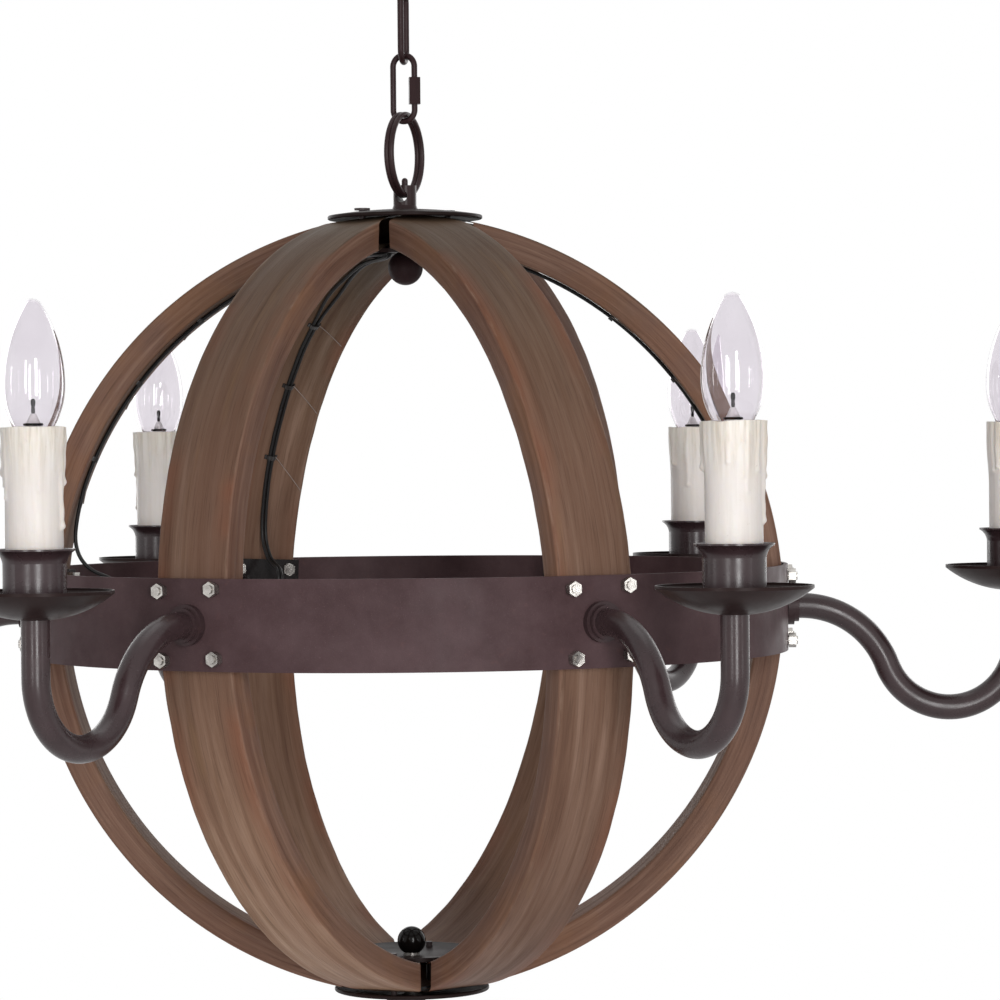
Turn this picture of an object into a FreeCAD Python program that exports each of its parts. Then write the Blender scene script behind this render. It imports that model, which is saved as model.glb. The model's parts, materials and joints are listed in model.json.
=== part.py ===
"""Orb chandelier: a globe of six bent wooden ribs in a flat metal band, with six candle arms.

The origin is the point where the ceiling hook bears, inside the crown of the upper chain link.
Z points up. Rib 1 and arm 1 stand at -60 degrees from +X, and the others follow every 60 degrees.
A rib, an arm and what they carry are drawn along +X, with z = 0 at the middle of the band.
"""
import FreeCAD
import Part
import Sketcher
import math
import os
import re

SIZES = {
    # the flat band round the globe
    "band_outer_radius": 240.0,
    "band_thickness": 2.5,
    "band_height": 54.0,
    # the six bent ribs, which lean a little about their arms and end in mitred points
    "rib_count": 6,
    "first_rib_angle": -60.0,
    "rib_width": 50.0,
    "rib_thickness": 17.0,
    "rib_bend_radius": 246.0,
    "rib_clearance": 0.1,
    "globe_rise": 3.6,
    "rib_lean": 2.2,
    "mitre_turn": 11.0,
    "mitre_gap": 6.0,
    "mitre_reach": 80.0,
    # the plates inside the ribs, and the four bolts and nuts of each rib
    "backing_width": 54.0,
    "backing_height": 54.0,
    "backing_thickness": 2.5,
    "bolt_radius": 2.5,
    "bolt_clearance": 0.25,
    "bolt_spacing_wide": 37.0,
    "bolt_spacing_high": 40.5,
    "bolt_head_across": 8.0,
    "bolt_head_height": 3.5,
    "bolt_tip": 1.0,
    "nut_across": 8.0,
    "nut_height": 4.6,
    "thread_clearance": 0.05,
    # the S-shaped arm tubes with their collars, lock nuts and end nipples
    "arm_radius": 8.0,
    "arm_wall": 1.2,
    "arm_clearance": 0.05,
    "arm_straight": 8.3,
    "arm_lower_bend": 42.0,
    "arm_drop": 65.0,
    "arm_top": 9.0,
    "arm_inner_reach": 5.0,
    "arm_reach": 144.0,
    "collar_radius": 12.0,
    "collar_base": 4.0,
    "collar_step_radius": 10.0,
    "collar_length": 7.0,
    "lock_nut_across": 22.0,
    "lock_nut_height": 5.0,
    "nipple_radius": 5.0,
    "nipple_bore_radius": 3.0,
    "nipple_plug": 8.0,
    "nipple_clearance": 0.1,
    # the candle: drip dish, cup, sleeve, socket
    "dish_radius": 43.8,
    "dish_depth": 14.3,
    "dish_lip": 1.8,
    "dish_wall": 1.2,
    "dish_seat_radius": 9.0,
    "dish_bowl_radius": 66.0,
    "cup_radius": 17.7,
    "cup_wall": 1.0,
    "cup_floor": 1.5,
    "cup_height": 35.5,
    "cup_flare_radius": 22.4,
    "cup_flare_height": 8.0,
    "cup_flare_bend": 8.6,
    "sleeve_radius": 16.2,
    "sleeve_wall": 1.6,
    "sleeve_height": 101.5,
    "drip_radius": 1.9,
    "drip_sink": 0.7,
    "drip_spacing": 52.0,
    "drip_longest": 46.0,
    "drip_step": 15.0,
    "socket_radius": 12.5,
    "socket_stem_radius": 7.0,
    "socket_recess": 6.5,
    "socket_shell_height": 30.0,
    "socket_depth": 25.0,
    "socket_thread_depth": 12.0,
    "socket_clearance": 0.1,
    # the clear candle bulb
    "bulb_cap_radius": 7.0,
    "bulb_cap_length": 24.0,
    "bulb_flange_radius": 9.0,
    "bulb_flange_height": 2.0,
    "bulb_stem_radius": 3.2,
    "bulb_stem_height": 13.5,
    "bulb_post_radius": 1.1,
    "bulb_post_height": 6.0,
    "glass_radius": 17.7,
    "glass_neck_radius": 9.0,
    "glass_widest_height": 29.0,
    "glass_lower_bend": 46.0,
    "glass_upper_bend": 76.0,
    "glass_shoulder_radius": 5.6,
    "glass_shoulder_height": 71.0,
    "glass_height": 76.5,
    "glass_tip_bend": 6.4,
    "glass_tip_flat": 0.8,
    "glass_wall": 0.8,
    # the discs, balls and rods at the two poles
    "disc_radius": 49.0,
    "disc_dome": 4.0,
    "outer_disc_thickness": 2.6,
    "inner_disc_radius": 42.0,
    "inner_disc_dome": 3.0,
    "inner_disc_thickness": 2.5,
    "disc_edge_round": 1.0,
    "inner_disc_gap": 0.1,
    "disc_screw_radius": 2.0,
    "disc_screw_clearance": 0.25,
    "disc_screw_circle": 31.0,
    "top_screw_turn": 17.0,
    "disc_screw_head_radius": 5.0,
    "disc_screw_head_height": 1.2,
    "disc_screw_tip": 3.0,
    "top_ball_radius": 11.0,
    "bottom_ball_radius": 9.0,
    "rod_radius": 5.0,
    "rod_clearance": 0.3,
    "rod_seat_depth": 5.0,
    "cap_nut_radius": 8.5,
    "cap_nut_height": 9.0,
    "cap_nut_flat": 1.5,
    "lead_slot_width": 6.5,
    "lead_slot_depth": 5.0,
    "lead_slot_circle": 22.0,
    # the block, ring, quick link and chain that carry the globe
    "block_radius": 7.3,
    "block_foot_radius": 8.2,
    "block_foot_height": 2.5,
    "block_height": 15.0,
    "block_hole_height": 8.4,
    "block_hole_radius": 4.1,
    "block_rod_depth": 3.2,
    "block_screw_radius": 2.0,
    "block_screw_height": 5.0,
    "block_screw_depth": 1.4,
    "ring_radius": 25.5,
    "ring_wire_radius": 1.7,
    "ring_turn_spacing": 3.2,
    "ring_seat_drop": 0.65,
    "ring_direction": 70.0,
    "quick_link_length": 45.6,
    "quick_link_wire_radius": 1.9,
    "quick_link_half_width": 7.25,
    "quick_link_gap": 5.8,
    "quick_link_gap_drop": 6.4,
    "quick_link_direction": -20.0,
    "quick_nut_across": 7.0,
    "quick_nut_height": 17.0,
    "quick_nut_drop": 1.8,
    "quick_nut_clearance": 0.1,
    "chain_link_length": 49.0,
    "chain_link_half_width": 8.0,
    "chain_wire_radius": 2.0,
    "chain_clearance": 0.3,
    "lower_link_direction": 80.0,
    "upper_link_direction": -10.0,
    # the flat two-core lamp leads and their clips
    "lead_width": 5.0,
    "lead_thickness": 2.2,
    "lead_bend": 14.0,
    "lead_exit": 6.0,
    "lead_face_gap": 0.1,
    "lead_rise_angle": 17.0,
    "lead_top_angle": 68.0,
    "lead_disc_gap": 0.5,
    "lead_slot_bend": 3.3,
    "lead_tail": 1.0,
    "clip_width": 11.0,
    "clip_depth": 4.0,
    "clip_cover": 0.8,
    "clip_clearance": 0.4,
    "clip_first_angle": 24.0,
    "clip_last_angle": 52.0,
    "clip_count": 3,
}

doc = FreeCAD.newDocument("OrbChandelier")
sheet = doc.addObject("Spreadsheet::Sheet", "Sizes")
for row, (alias, value) in enumerate(SIZES.items(), start=1):
    sheet.set(f"A{row}", alias)
    sheet.set(f"B{row}", str(value))
    sheet.setAlias(f"B{row}", alias)
doc.recompute()

WORD = re.compile(r"[a-z][a-z_0-9]*")


def bound(text):
    """The expression with each name of a size bound to its cell of the sheet."""
    return WORD.sub(lambda m: f"Sizes.{m[0]}" if m[0] in SIZES else m[0], str(text))


def number(text):
    """The value of an expression of sizes, in millimetres or degrees."""
    value = sheet.evalExpression(bound(text))
    return float(getattr(value, "Value", value))


class Values:
    """The sheet's numbers by name, for shapes that no sketch holds."""

    def __getattr__(self, name):
        return float(sheet.get(name))


size = Values()
parts = []


def keep(thing, label):
    """Names a finished sub-part and lists it for writing."""
    thing.Label = label
    parts.append(thing)
    return thing


def placement(angle=0.0, lean=0.0, x=0.0, y=0.0, z=0.0, turn=None):
    """Turned and leaned in place, moved out, swung about Z by the angle, and lifted."""
    own = FreeCAD.Placement(FreeCAD.Vector(x, y, 0), turn or FreeCAD.Rotation())
    tilt = FreeCAD.Placement(FreeCAD.Vector(), FreeCAD.Rotation(FreeCAD.Vector(1, 0, 0), lean))
    swing = FreeCAD.Placement(
        FreeCAD.Vector(0, 0, z), FreeCAD.Rotation(FreeCAD.Vector(0, 0, 1), angle)
    )
    return swing * tilt * own


def new_body(name):
    return doc.addObject("PartDesign::Body", name)


def new_sketch(body, role, name, offset=None):
    """A sketch on one of the body's own origin planes."""
    sketch = body.newObject("Sketcher::SketchObject", name)
    plane = next(f for f in body.Origin.OriginFeatures if f.Role == role)
    sketch.AttachmentSupport = (plane, [""])
    sketch.MapMode = "FlatFace"
    if offset is not None:
        sketch.AttachmentOffset = offset
    return sketch


def constrain(sketch, kind, places, text):
    """A dimension of the sketch whose value is an expression of sizes."""
    angular = kind == "Angle"
    value = math.radians(number(text)) if angular else number(text)
    index = sketch.addConstraint(Sketcher.Constraint(kind, *places, value))
    sketch.setExpression(f"Constraints[{index}]", bound(text))


def pin(sketch, geometry, position, x, y):
    """Holds a point of the sketch at two dimensions from the origin."""
    constrain(sketch, "DistanceX", (-1, 1, geometry, position), x)
    constrain(sketch, "DistanceY", (-1, 1, geometry, position), y)


def add_outline(sketch, corners):
    """A closed outline. A corner is (x, y), or (x, y, radius) where an arc runs to the next one.

    A positive radius turns left on its way, and a negative one right.
    """
    first = sketch.GeometryCount
    count = len(corners)
    points = [FreeCAD.Vector(number(c[0]), number(c[1]), 0) for c in corners]
    ends = []
    for index, corner in enumerate(corners):
        start, end = points[index], points[(index + 1) % count]
        if len(corner) == 2:
            sketch.addGeometry(Part.LineSegment(start, end))
            ends.append((1, 2))
            continue
        radius = number(corner[2])
        chord = end - start
        height = math.sqrt(max(radius**2 - chord.Length**2 / 4, 0.0))
        side = FreeCAD.Vector(-chord.y, chord.x, 0).normalize() * math.copysign(height, radius)
        centre = (start + end) * 0.5 + side
        circle = Part.Circle(centre, FreeCAD.Vector(0, 0, 1), abs(radius))
        low, high = (start, end) if radius > 0 else (end, start)
        angles = [math.atan2(p.y - centre.y, p.x - centre.x) for p in (low, high)]
        sketch.addGeometry(Part.ArcOfCircle(circle, *angles))
        ends.append((1, 2) if radius > 0 else (2, 1))
    for index, corner in enumerate(corners):
        after = (index + 1) % count
        sketch.addConstraint(
            Sketcher.Constraint(
                "Coincident", first + index, ends[index][1], first + after, ends[after][0]
            )
        )
    for index, corner in enumerate(corners):
        pin(sketch, first + index, ends[index][0], corner[0], corner[1])
        if len(corner) == 3:
            text = corner[2] if number(corner[2]) > 0 else f"-({corner[2]})"
            constrain(sketch, "Radius", (first + index,), text)


def add_circle(sketch, x, y, radius):
    middle = FreeCAD.Vector(number(x), number(y), 0)
    index = sketch.addGeometry(Part.Circle(middle, FreeCAD.Vector(0, 0, 1), number(radius)))
    pin(sketch, index, 3, x, y)
    constrain(sketch, "Radius", (index,), radius)


def add_hexagon(sketch, across):
    """A regular hexagon about the origin, with two of its corners on the sketch's x axis."""
    angles = [60 * k for k in range(6)]
    add_outline(
        sketch,
        [(f"{across} / sqrt(3) * cos({a} deg)", f"{across} / sqrt(3) * sin({a} deg)") for a in angles],
    )


def pad(body, sketch, name, length, midplane=False):
    feature = body.newObject("PartDesign::Pad", name)
    feature.Profile = sketch
    feature.setExpression("Length", bound(length))
    feature.Midplane = midplane
    return feature


def pocket(body, sketch, name, reverse=False, midplane=False):
    """A cut right through what lies ahead of the sketch, or behind it when reversed."""
    feature = body.newObject("PartDesign::Pocket", name)
    feature.Profile = sketch
    feature.Type = "ThroughAll"
    feature.Reversed = reverse
    feature.Midplane = midplane
    return feature


def revolve(body, sketch, name):
    feature = body.newObject("PartDesign::Revolution", name)
    feature.Profile = sketch
    feature.ReferenceAxis = (sketch, ["V_Axis"])
    feature.Angle = 360
    return feature


def polar(body, features, name, count):
    feature = body.newObject("PartDesign::PolarPattern", name)
    feature.Originals = features
    axis = next(f for f in body.Origin.OriginFeatures if f.Role == "Z_Axis")
    feature.Axis = (axis, [""])
    feature.Angle = 360
    feature.setExpression("Occurrences", bound(count))
    body.Tip = feature
    return feature


def turned(name, corners):
    """A body turned about Z from its half outline, given as (radius, height) corners."""
    body = new_body(name)
    outline = new_sketch(body, "XZ_Plane", f"{name}_outline")
    add_outline(outline, corners)
    revolve(body, outline, f"{name}_turning")
    return body


def group(label, seed, places):
    """One sub-part of several equal solids, copies of a seed body at the given places."""
    doc.recompute()
    copies = []
    for place in places:
        copy = seed.Shape.copy()
        copy.Placement = place.multiply(seed.Shape.Placement)
        copies.append(copy)
    feature = doc.addObject("Part::Feature", label)
    feature.Shape = Part.Compound(copies)
    return keep(feature, label)


def shaped(label, shape, place):
    """A sub-part from a ready shape."""
    feature = doc.addObject("Part::Feature", label)
    feature.Shape = shape
    feature.Placement = place
    return keep(feature, label)


# ---- heights and distances that follow from the sizes ----

RIB_COUNT = int(size.rib_count)
RIB_ANGLES = [size.first_rib_angle + 360.0 / RIB_COUNT * k for k in range(RIB_COUNT)]
LEAN = size.rib_lean
LEAN_RADIANS = math.radians(LEAN)
HALF_TURN = FreeCAD.Rotation(FreeCAD.Vector(1, 0, 0), 180)
OUTWARD = FreeCAD.Rotation(FreeCAD.Vector(0, 1, 0), 90)

CANDLE_RADIUS = "(band_outer_radius + arm_reach)"
ARM_START = "(band_outer_radius + arm_straight)"
SOCKET_HEIGHT = "(sleeve_height - socket_recess)"
candle_radius = number(CANDLE_RADIUS)
arm_start = number(ARM_START)
socket_height = number(SOCKET_HEIGHT)
BAND_INNER = "(band_outer_radius - band_thickness)"
RIB_OUTER = f"(sqrt({BAND_INNER}^2 - (rib_width / 2)^2) - rib_clearance)"
BEND_CENTRE = f"({RIB_OUTER} - rib_bend_radius)"
INNER_BEND = "(rib_bend_radius - rib_thickness)"
PLATE_INNER = (
    f"({BEND_CENTRE} + sqrt({INNER_BEND}^2 - (backing_height / 2 + globe_rise)^2)"
    " - rib_clearance - backing_thickness)"
)
bend_centre = number(BEND_CENTRE)
inner_bend = number(INNER_BEND)


def rib_height(radius, x):
    """How far a rib's face of that bend radius stands above the bend's centre at x."""
    return math.sqrt(radius**2 - (x - bend_centre) ** 2)


plate_x = number(PLATE_INNER)
# the outer discs rest on the ribs' highest point, the inner ones under their lowest within the disc
crown_x = min(max(bend_centre, 0.0), size.disc_radius)
pole_height = rib_height(size.rib_bend_radius, crown_x) * math.cos(LEAN_RADIANS)
lean_lift = size.rib_width / 2 * math.sin(LEAN_RADIANS)
rim_height = math.cos(LEAN_RADIANS) * min(
    rib_height(inner_bend, size.inner_disc_radius),
    rib_height(inner_bend, 0.0) - size.inner_disc_dome,
)
outer_disc_height = pole_height + lean_lift
inner_disc_height = rim_height - size.inner_disc_gap

chain_pitch = size.chain_link_length - 2 * size.chain_wire_radius
upper_link_z = size.chain_wire_radius - chain_pitch / 2
upper_low_z = upper_link_z - chain_pitch / 2
lower_link_z = upper_low_z + 2 * size.chain_wire_radius + size.chain_clearance - chain_pitch / 2
lower_low_z = lower_link_z - chain_pitch / 2
quick_pitch = size.quick_link_length - 2 * size.quick_link_wire_radius
quick_link_z = (
    lower_low_z + size.chain_wire_radius + size.quick_link_wire_radius
    + size.chain_clearance - quick_pitch / 2
)
# the ring's two turns lie side by side in the quick link's round end
ring_room = (
    size.quick_link_half_width - size.quick_link_wire_radius - size.ring_wire_radius
    - size.chain_clearance
)
ring_seat = size.quick_link_half_width - math.sqrt(ring_room**2 - (size.ring_turn_spacing / 2) ** 2)
ring_top_z = quick_link_z - quick_pitch / 2 + ring_seat
ring_z = ring_top_z - size.ring_radius
ring_low_z = ring_z - size.ring_radius
block_z = ring_low_z - size.ring_seat_drop - size.block_hole_height
band_z = (
    block_z - size.outer_disc_thickness - outer_disc_height - size.globe_rise
)
top_pole_z = band_z + size.globe_rise

dish_z = band_z + size.arm_top
bowl_centre = size.dish_bowl_radius
cup_z = dish_z + size.dish_wall + bowl_centre - math.sqrt(
    (bowl_centre - size.dish_wall) ** 2 - size.cup_radius**2
) - size.dish_wall
cup_floor_z = cup_z + size.cup_floor
socket_top_z = cup_floor_z + socket_height
bulb_z = socket_top_z


# ---- the band ----

def make_band():
    """A flat hoop, pierced for the arms and the ribs' bolts."""
    body = new_body("band")
    section = new_sketch(body, "XZ_Plane", "band_section")
    low, high = "-band_height / 2", "band_height / 2"
    add_outline(
        section,
        [
            (BAND_INNER, low),
            ("band_outer_radius", low),
            ("band_outer_radius", high),
            (BAND_INNER, high),
        ],
    )
    revolve(body, section, "band_hoop")
    holes = bolt_hole_sketch(body, "band_holes", lean=LEAN)
    cut = pocket(body, holes, "band_piercing", reverse=True)
    polar(body, [cut], "band_pattern", "rib_count")
    body.Placement = placement(angle=size.first_rib_angle, z=band_z)
    return keep(body, "band")


def bolt_hole_sketch(body, name, lean=0.0):
    """The arm's hole and the four bolt holes round it, at the rib's lean in a level piece."""
    turn = FreeCAD.Placement(FreeCAD.Vector(), FreeCAD.Rotation(FreeCAD.Vector(0, 0, 1), lean))
    sketch = new_sketch(body, "YZ_Plane", name, turn)
    add_circle(sketch, "0", "0", "arm_radius + arm_clearance")
    for across in ("-bolt_spacing_wide / 2", "bolt_spacing_wide / 2"):
        for up in ("-bolt_spacing_high / 2", "bolt_spacing_high / 2"):
            add_circle(sketch, across, up, "bolt_radius + bolt_clearance")
    return sketch


# ---- the ribs ----

def straight_up():
    """Turns a rib's sketch so that it is level when the rib leans."""
    return FreeCAD.Placement(FreeCAD.Vector(), FreeCAD.Rotation(FreeCAD.Vector(1, 0, 0), -LEAN))


def mitre_corners(turn):
    """What lies beyond a rib's share of a turn about the pole, whose middle is at that angle.

    Half the gap between two ribs lies along each side of the share.
    """
    share = "180 deg / rib_count"
    start = f"mitre_gap / (2 * sin({share}))"
    apex = (f"{start} * cos({turn})", f"{start} * sin({turn})")
    left = (
        f"{apex[0]} + mitre_reach * cos({turn} + {share})",
        f"{apex[1]} + mitre_reach * sin({turn} + {share})",
    )
    right = (
        f"{apex[0]} + mitre_reach * cos({turn} - {share})",
        f"{apex[1]} + mitre_reach * sin({turn} - {share})",
    )
    return [apex, left, ("-rib_width", left[1]), ("-rib_width", right[1]), right]


def make_rib(index, angle):
    """A bent rib, mitred at both poles so that six of them stand round the rods with gaps between."""
    name = f"rib_{index}"
    body = new_body(name)
    bend = new_sketch(body, "XZ_Plane", f"{name}_bend")
    centre = FreeCAD.Vector(bend_centre, size.globe_rise, 0)
    for radius in (size.rib_bend_radius, inner_bend):
        tip = math.acos(-bend_centre / radius)
        circle = Part.Circle(centre, FreeCAD.Vector(0, 0, 1), radius)
        bend.addGeometry(Part.ArcOfCircle(circle, -tip, tip))
    for side in (-1, 1):
        inner, outer = (
            FreeCAD.Vector(0, size.globe_rise + side * rib_height(radius, 0.0), 0)
            for radius in (inner_bend, size.rib_bend_radius)
        )
        bend.addGeometry(Part.LineSegment(inner, outer))
    for line, end in ((2, 1), (3, 2)):
        bend.addConstraint(Sketcher.Constraint("Coincident", line, 1, 1, end))
        bend.addConstraint(Sketcher.Constraint("Coincident", line, 2, 0, end))
        bend.addConstraint(Sketcher.Constraint("PointOnObject", 0, end, -2))
        bend.addConstraint(Sketcher.Constraint("PointOnObject", 1, end, -2))
    bend.addConstraint(Sketcher.Constraint("Coincident", 0, 3, 1, 3))
    pin(bend, 0, 3, BEND_CENTRE, "globe_rise")
    constrain(bend, "Radius", (0,), "rib_bend_radius")
    constrain(bend, "Radius", (1,), INNER_BEND)
    pad(body, bend, f"{name}_plank", "rib_width", midplane=True)
    for end, turn, reverse in (("top", "-mitre_turn * 1 deg", True), ("bottom", "mitre_turn * 1 deg", False)):
        mitre = new_sketch(body, "XY_Plane", f"{name}_{end}_mitre", straight_up())
        add_outline(mitre, mitre_corners(turn))
        pocket(body, mitre, f"{name}_{end}_mitre_cut", reverse=reverse)
    rod = new_sketch(body, "XY_Plane", f"{name}_rod", straight_up())
    add_circle(rod, "0", "0", "rod_radius + rod_clearance")
    pocket(body, rod, f"{name}_rod_hole", midplane=True)
    holes = bolt_hole_sketch(body, f"{name}_holes")
    pocket(body, holes, f"{name}_piercing", reverse=True)
    if index in SCREWED_RIBS:
        for end, turn, reverse in (("top", TOP_SCREW_TURN, True), ("bottom", BOTTOM_SCREW_TURN, False)):
            screw = new_sketch(body, "XY_Plane", f"{name}_{end}_screw", straight_up())
            add_circle(
                screw,
                f"disc_screw_circle * cos({turn})",
                f"disc_screw_circle * sin({turn})",
                "disc_screw_radius + disc_screw_clearance",
            )
            pocket(body, screw, f"{name}_{end}_screw_hole", reverse=reverse)
    body.Placement = placement(angle=angle, lean=LEAN, z=band_z)
    return keep(body, name)


SCREWED_RIBS = (3, 6)
SCREW_ANGLE = RIB_ANGLES[SCREWED_RIBS[0] - 1]
TOP_SCREW_TURN = "(-mitre_turn - top_screw_turn) * 1 deg"
BOTTOM_SCREW_TURN = "mitre_turn * 1 deg"


# ---- plates, bolts and nuts at the band ----

def make_backing_plates():
    """Black plates against the ribs' inner faces, which spread the bolts' load."""
    body = new_body("backing_plate_seed")
    face = new_sketch(body, "YZ_Plane", "backing_plate_face")
    half_wide, half_high = "backing_width / 2", "backing_height / 2"
    add_outline(
        face,
        [
            (f"-{half_wide}", f"-{half_high}"),
            (half_wide, f"-{half_high}"),
            (half_wide, half_high),
            (f"-{half_wide}", half_high),
        ],
    )
    pad(body, face, "backing_plate_sheet", "backing_thickness")
    pocket(body, bolt_hole_sketch(body, "backing_plate_holes"), "backing_plate_piercing", reverse=True)
    places = [placement(angle=a, lean=LEAN, x=plate_x, z=band_z) for a in RIB_ANGLES]
    group("backing_plates", body, places)


def bolt_places(x):
    """Every bolt's place, with its head towards the globe's middle."""
    places = []
    for angle in RIB_ANGLES:
        for across in (-1, 1):
            for up in (-1, 1):
                y = across * size.bolt_spacing_wide / 2
                rise = FreeCAD.Placement(
                    FreeCAD.Vector(0, 0, up * size.bolt_spacing_high / 2), FreeCAD.Rotation()
                )
                lean = placement(angle=angle, lean=LEAN, z=band_z)
                places.append(lean * rise * placement(x=x, y=y, turn=OUTWARD))
    return places


def make_bolts():
    """Hexagon bolts from the plates out through rib and band, and their nuts."""
    bolt = new_body("rib_bolt_seed")
    head = new_sketch(bolt, "XY_Plane", "rib_bolt_head_outline")
    add_hexagon(head, "bolt_head_across")
    pad(bolt, head, "rib_bolt_head", "bolt_head_height")
    shank = new_sketch(bolt, "XY_Plane", "rib_bolt_shank_outline")
    add_circle(shank, "0", "0", "bolt_radius")
    nut_reach = size.bolt_spacing_wide / 2 - size.nut_across / math.sqrt(3)
    nut_x = math.sqrt(size.band_outer_radius**2 - nut_reach**2)
    seat = "sqrt(band_outer_radius^2 - (bolt_spacing_wide / 2 - nut_across / sqrt(3))^2)"
    pad(
        bolt,
        shank,
        "rib_bolt_shank",
        f"{seat} + nut_height + bolt_tip - {PLATE_INNER} + bolt_head_height",
    )
    group("rib_bolts", bolt, bolt_places(plate_x - size.bolt_head_height))

    nut = new_body("rib_nut_seed")
    outline = new_sketch(nut, "XY_Plane", "rib_nut_outline")
    add_hexagon(outline, "nut_across")
    add_circle(outline, "0", "0", "bolt_radius + thread_clearance")
    pad(nut, outline, "rib_nut_pad", "nut_height")
    group("rib_nuts", nut, bolt_places(nut_x))


# ---- the arms ----

# the upper bend has the one radius that runs smoothly into the lower bend
low_centre_x = candle_radius - size.arm_lower_bend
low_centre_z = size.arm_lower_bend - size.arm_drop
upper_bend = (
    (low_centre_x - arm_start) ** 2 + low_centre_z**2 - size.arm_lower_bend**2
) / (2 * size.arm_drop)
arm_turn = math.atan2(low_centre_x - arm_start, low_centre_z + upper_bend)
arm_inner_x = plate_x - size.lock_nut_height - size.arm_inner_reach


def make_arm(index, angle):
    """An S-shaped tube: out of the band, down, and up to its candle."""
    name = f"arm_{index}"
    body = new_body(name)
    path = new_sketch(body, "XZ_Plane", f"{name}_path")
    start_x, turn = arm_start, arm_turn
    up = FreeCAD.Vector(0, 0, 1)
    upper_centre = FreeCAD.Vector(start_x, -upper_bend, 0)
    lower_centre = FreeCAD.Vector(low_centre_x, low_centre_z, 0)
    quarter = math.pi / 2
    path.addGeometry(
        Part.LineSegment(FreeCAD.Vector(arm_inner_x, 0, 0), FreeCAD.Vector(start_x, 0, 0))
    )
    path.addGeometry(
        Part.ArcOfCircle(Part.Circle(upper_centre, up, upper_bend), quarter - turn, quarter)
    )
    path.addGeometry(
        Part.ArcOfCircle(
            Part.Circle(lower_centre, up, size.arm_lower_bend), 3 * quarter - turn, 4 * quarter
        )
    )
    path.addGeometry(
        Part.LineSegment(
            FreeCAD.Vector(candle_radius, low_centre_z, 0),
            FreeCAD.Vector(candle_radius, size.arm_top, 0),
        )
    )
    for joined in ((0, 2, 1, 2), (1, 1, 2, 1), (2, 2, 3, 1)):
        path.addConstraint(Sketcher.Constraint("Tangent", *joined))
    inner_end = f"{PLATE_INNER} - lock_nut_height - arm_inner_reach"
    pin(path, 0, 1, inner_end, "0")
    constrain(path, "DistanceX", (-1, 1, 0, 2), ARM_START)
    constrain(path, "Radius", (2,), "arm_lower_bend")
    path.addConstraint(Sketcher.Constraint("Horizontal", 0))
    path.addConstraint(Sketcher.Constraint("Vertical", 3))
    constrain(path, "DistanceY", (-1, 1, 2, 3), "arm_lower_bend - arm_drop")
    pin(path, 3, 2, CANDLE_RADIUS, "arm_top")

    section = new_sketch(body, "YZ_Plane", f"{name}_section")
    section.setExpression("AttachmentOffset.Base.z", bound(inner_end))
    add_circle(section, "0", "0", "arm_radius")
    add_circle(section, "0", "0", "arm_radius - arm_wall")
    doc.recompute()
    tube = body.newObject("PartDesign::AdditivePipe", f"{name}_tube")
    tube.Profile = section
    tube.Spine = (path, [f"Edge{k}" for k in (1, 2, 3, 4)])
    body.Placement = placement(angle=angle, z=band_z)
    return keep(body, name)


def make_arm_hardware():
    """The stepped collars on the band, the lock nuts inside, and the nipples at the arms' tops."""
    collar = turned(
        "arm_collar_seed",
        [
            ("arm_radius + arm_clearance", "0"),
            ("collar_radius", "0"),
            ("collar_radius", "collar_base"),
            ("collar_step_radius", "collar_base"),
            ("collar_step_radius", "collar_length"),
            ("arm_radius + arm_clearance", "collar_length"),
        ],
    )
    places = [
        placement(angle=a, x=size.band_outer_radius, z=band_z, turn=OUTWARD) for a in RIB_ANGLES
    ]
    group("arm_collars", collar, places)

    nut = new_body("arm_lock_nut_seed")
    outline = new_sketch(nut, "XY_Plane", "arm_lock_nut_outline")
    add_hexagon(outline, "lock_nut_across")
    add_circle(outline, "0", "0", "arm_radius + arm_clearance")
    pad(nut, outline, "arm_lock_nut_pad", "lock_nut_height")
    places = [
        placement(angle=a, x=plate_x - size.lock_nut_height, z=band_z, turn=OUTWARD)
        for a in RIB_ANGLES
    ]
    group("arm_lock_nuts", nut, places)

    plug = "arm_radius - arm_wall - arm_clearance"
    rise = size.arm_top - size.nipple_plug
    reach = cup_floor_z - dish_z
    nipple = turned(
        "arm_nipple_seed",
        [
            ("nipple_bore_radius", "0"),
            (plug, "0"),
            (plug, "nipple_plug"),
            ("nipple_radius", "nipple_plug"),
            ("nipple_radius", f"nipple_plug + {reach} + socket_thread_depth - nipple_clearance"),
            ("nipple_bore_radius", f"nipple_plug + {reach} + socket_thread_depth - nipple_clearance"),
        ],
    )
    group("arm_nipples", nipple, candle_places(band_z + rise))


def candle_places(z):
    """The six candles' axes at a height."""
    return [placement(angle=a, x=candle_radius, z=z) for a in RIB_ANGLES]


# ---- the candles ----

def make_dishes():
    """Shallow drip dishes: a bowl with an upright lip, which rests on the arm's top."""
    outer = "dish_bowl_radius"
    inner = "(dish_bowl_radius - dish_wall)"
    hole = "nipple_radius + nipple_clearance"
    seat_x = "dish_seat_radius"
    rim = "dish_radius"
    dish = turned(
        "drip_dish_seed",
        [
            (hole, "0"),
            (seat_x, "0", outer),
            (rim, "dish_depth"),
            (rim, "dish_depth + dish_lip"),
            (f"{rim} - dish_wall", "dish_depth + dish_lip"),
            (f"{rim} - dish_wall", "dish_depth + dish_wall / 2", f"-{inner}"),
            (seat_x, "dish_wall"),
            (hole, "dish_wall"),
        ],
    )
    group("drip_dishes", dish, candle_places(dish_z))


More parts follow.
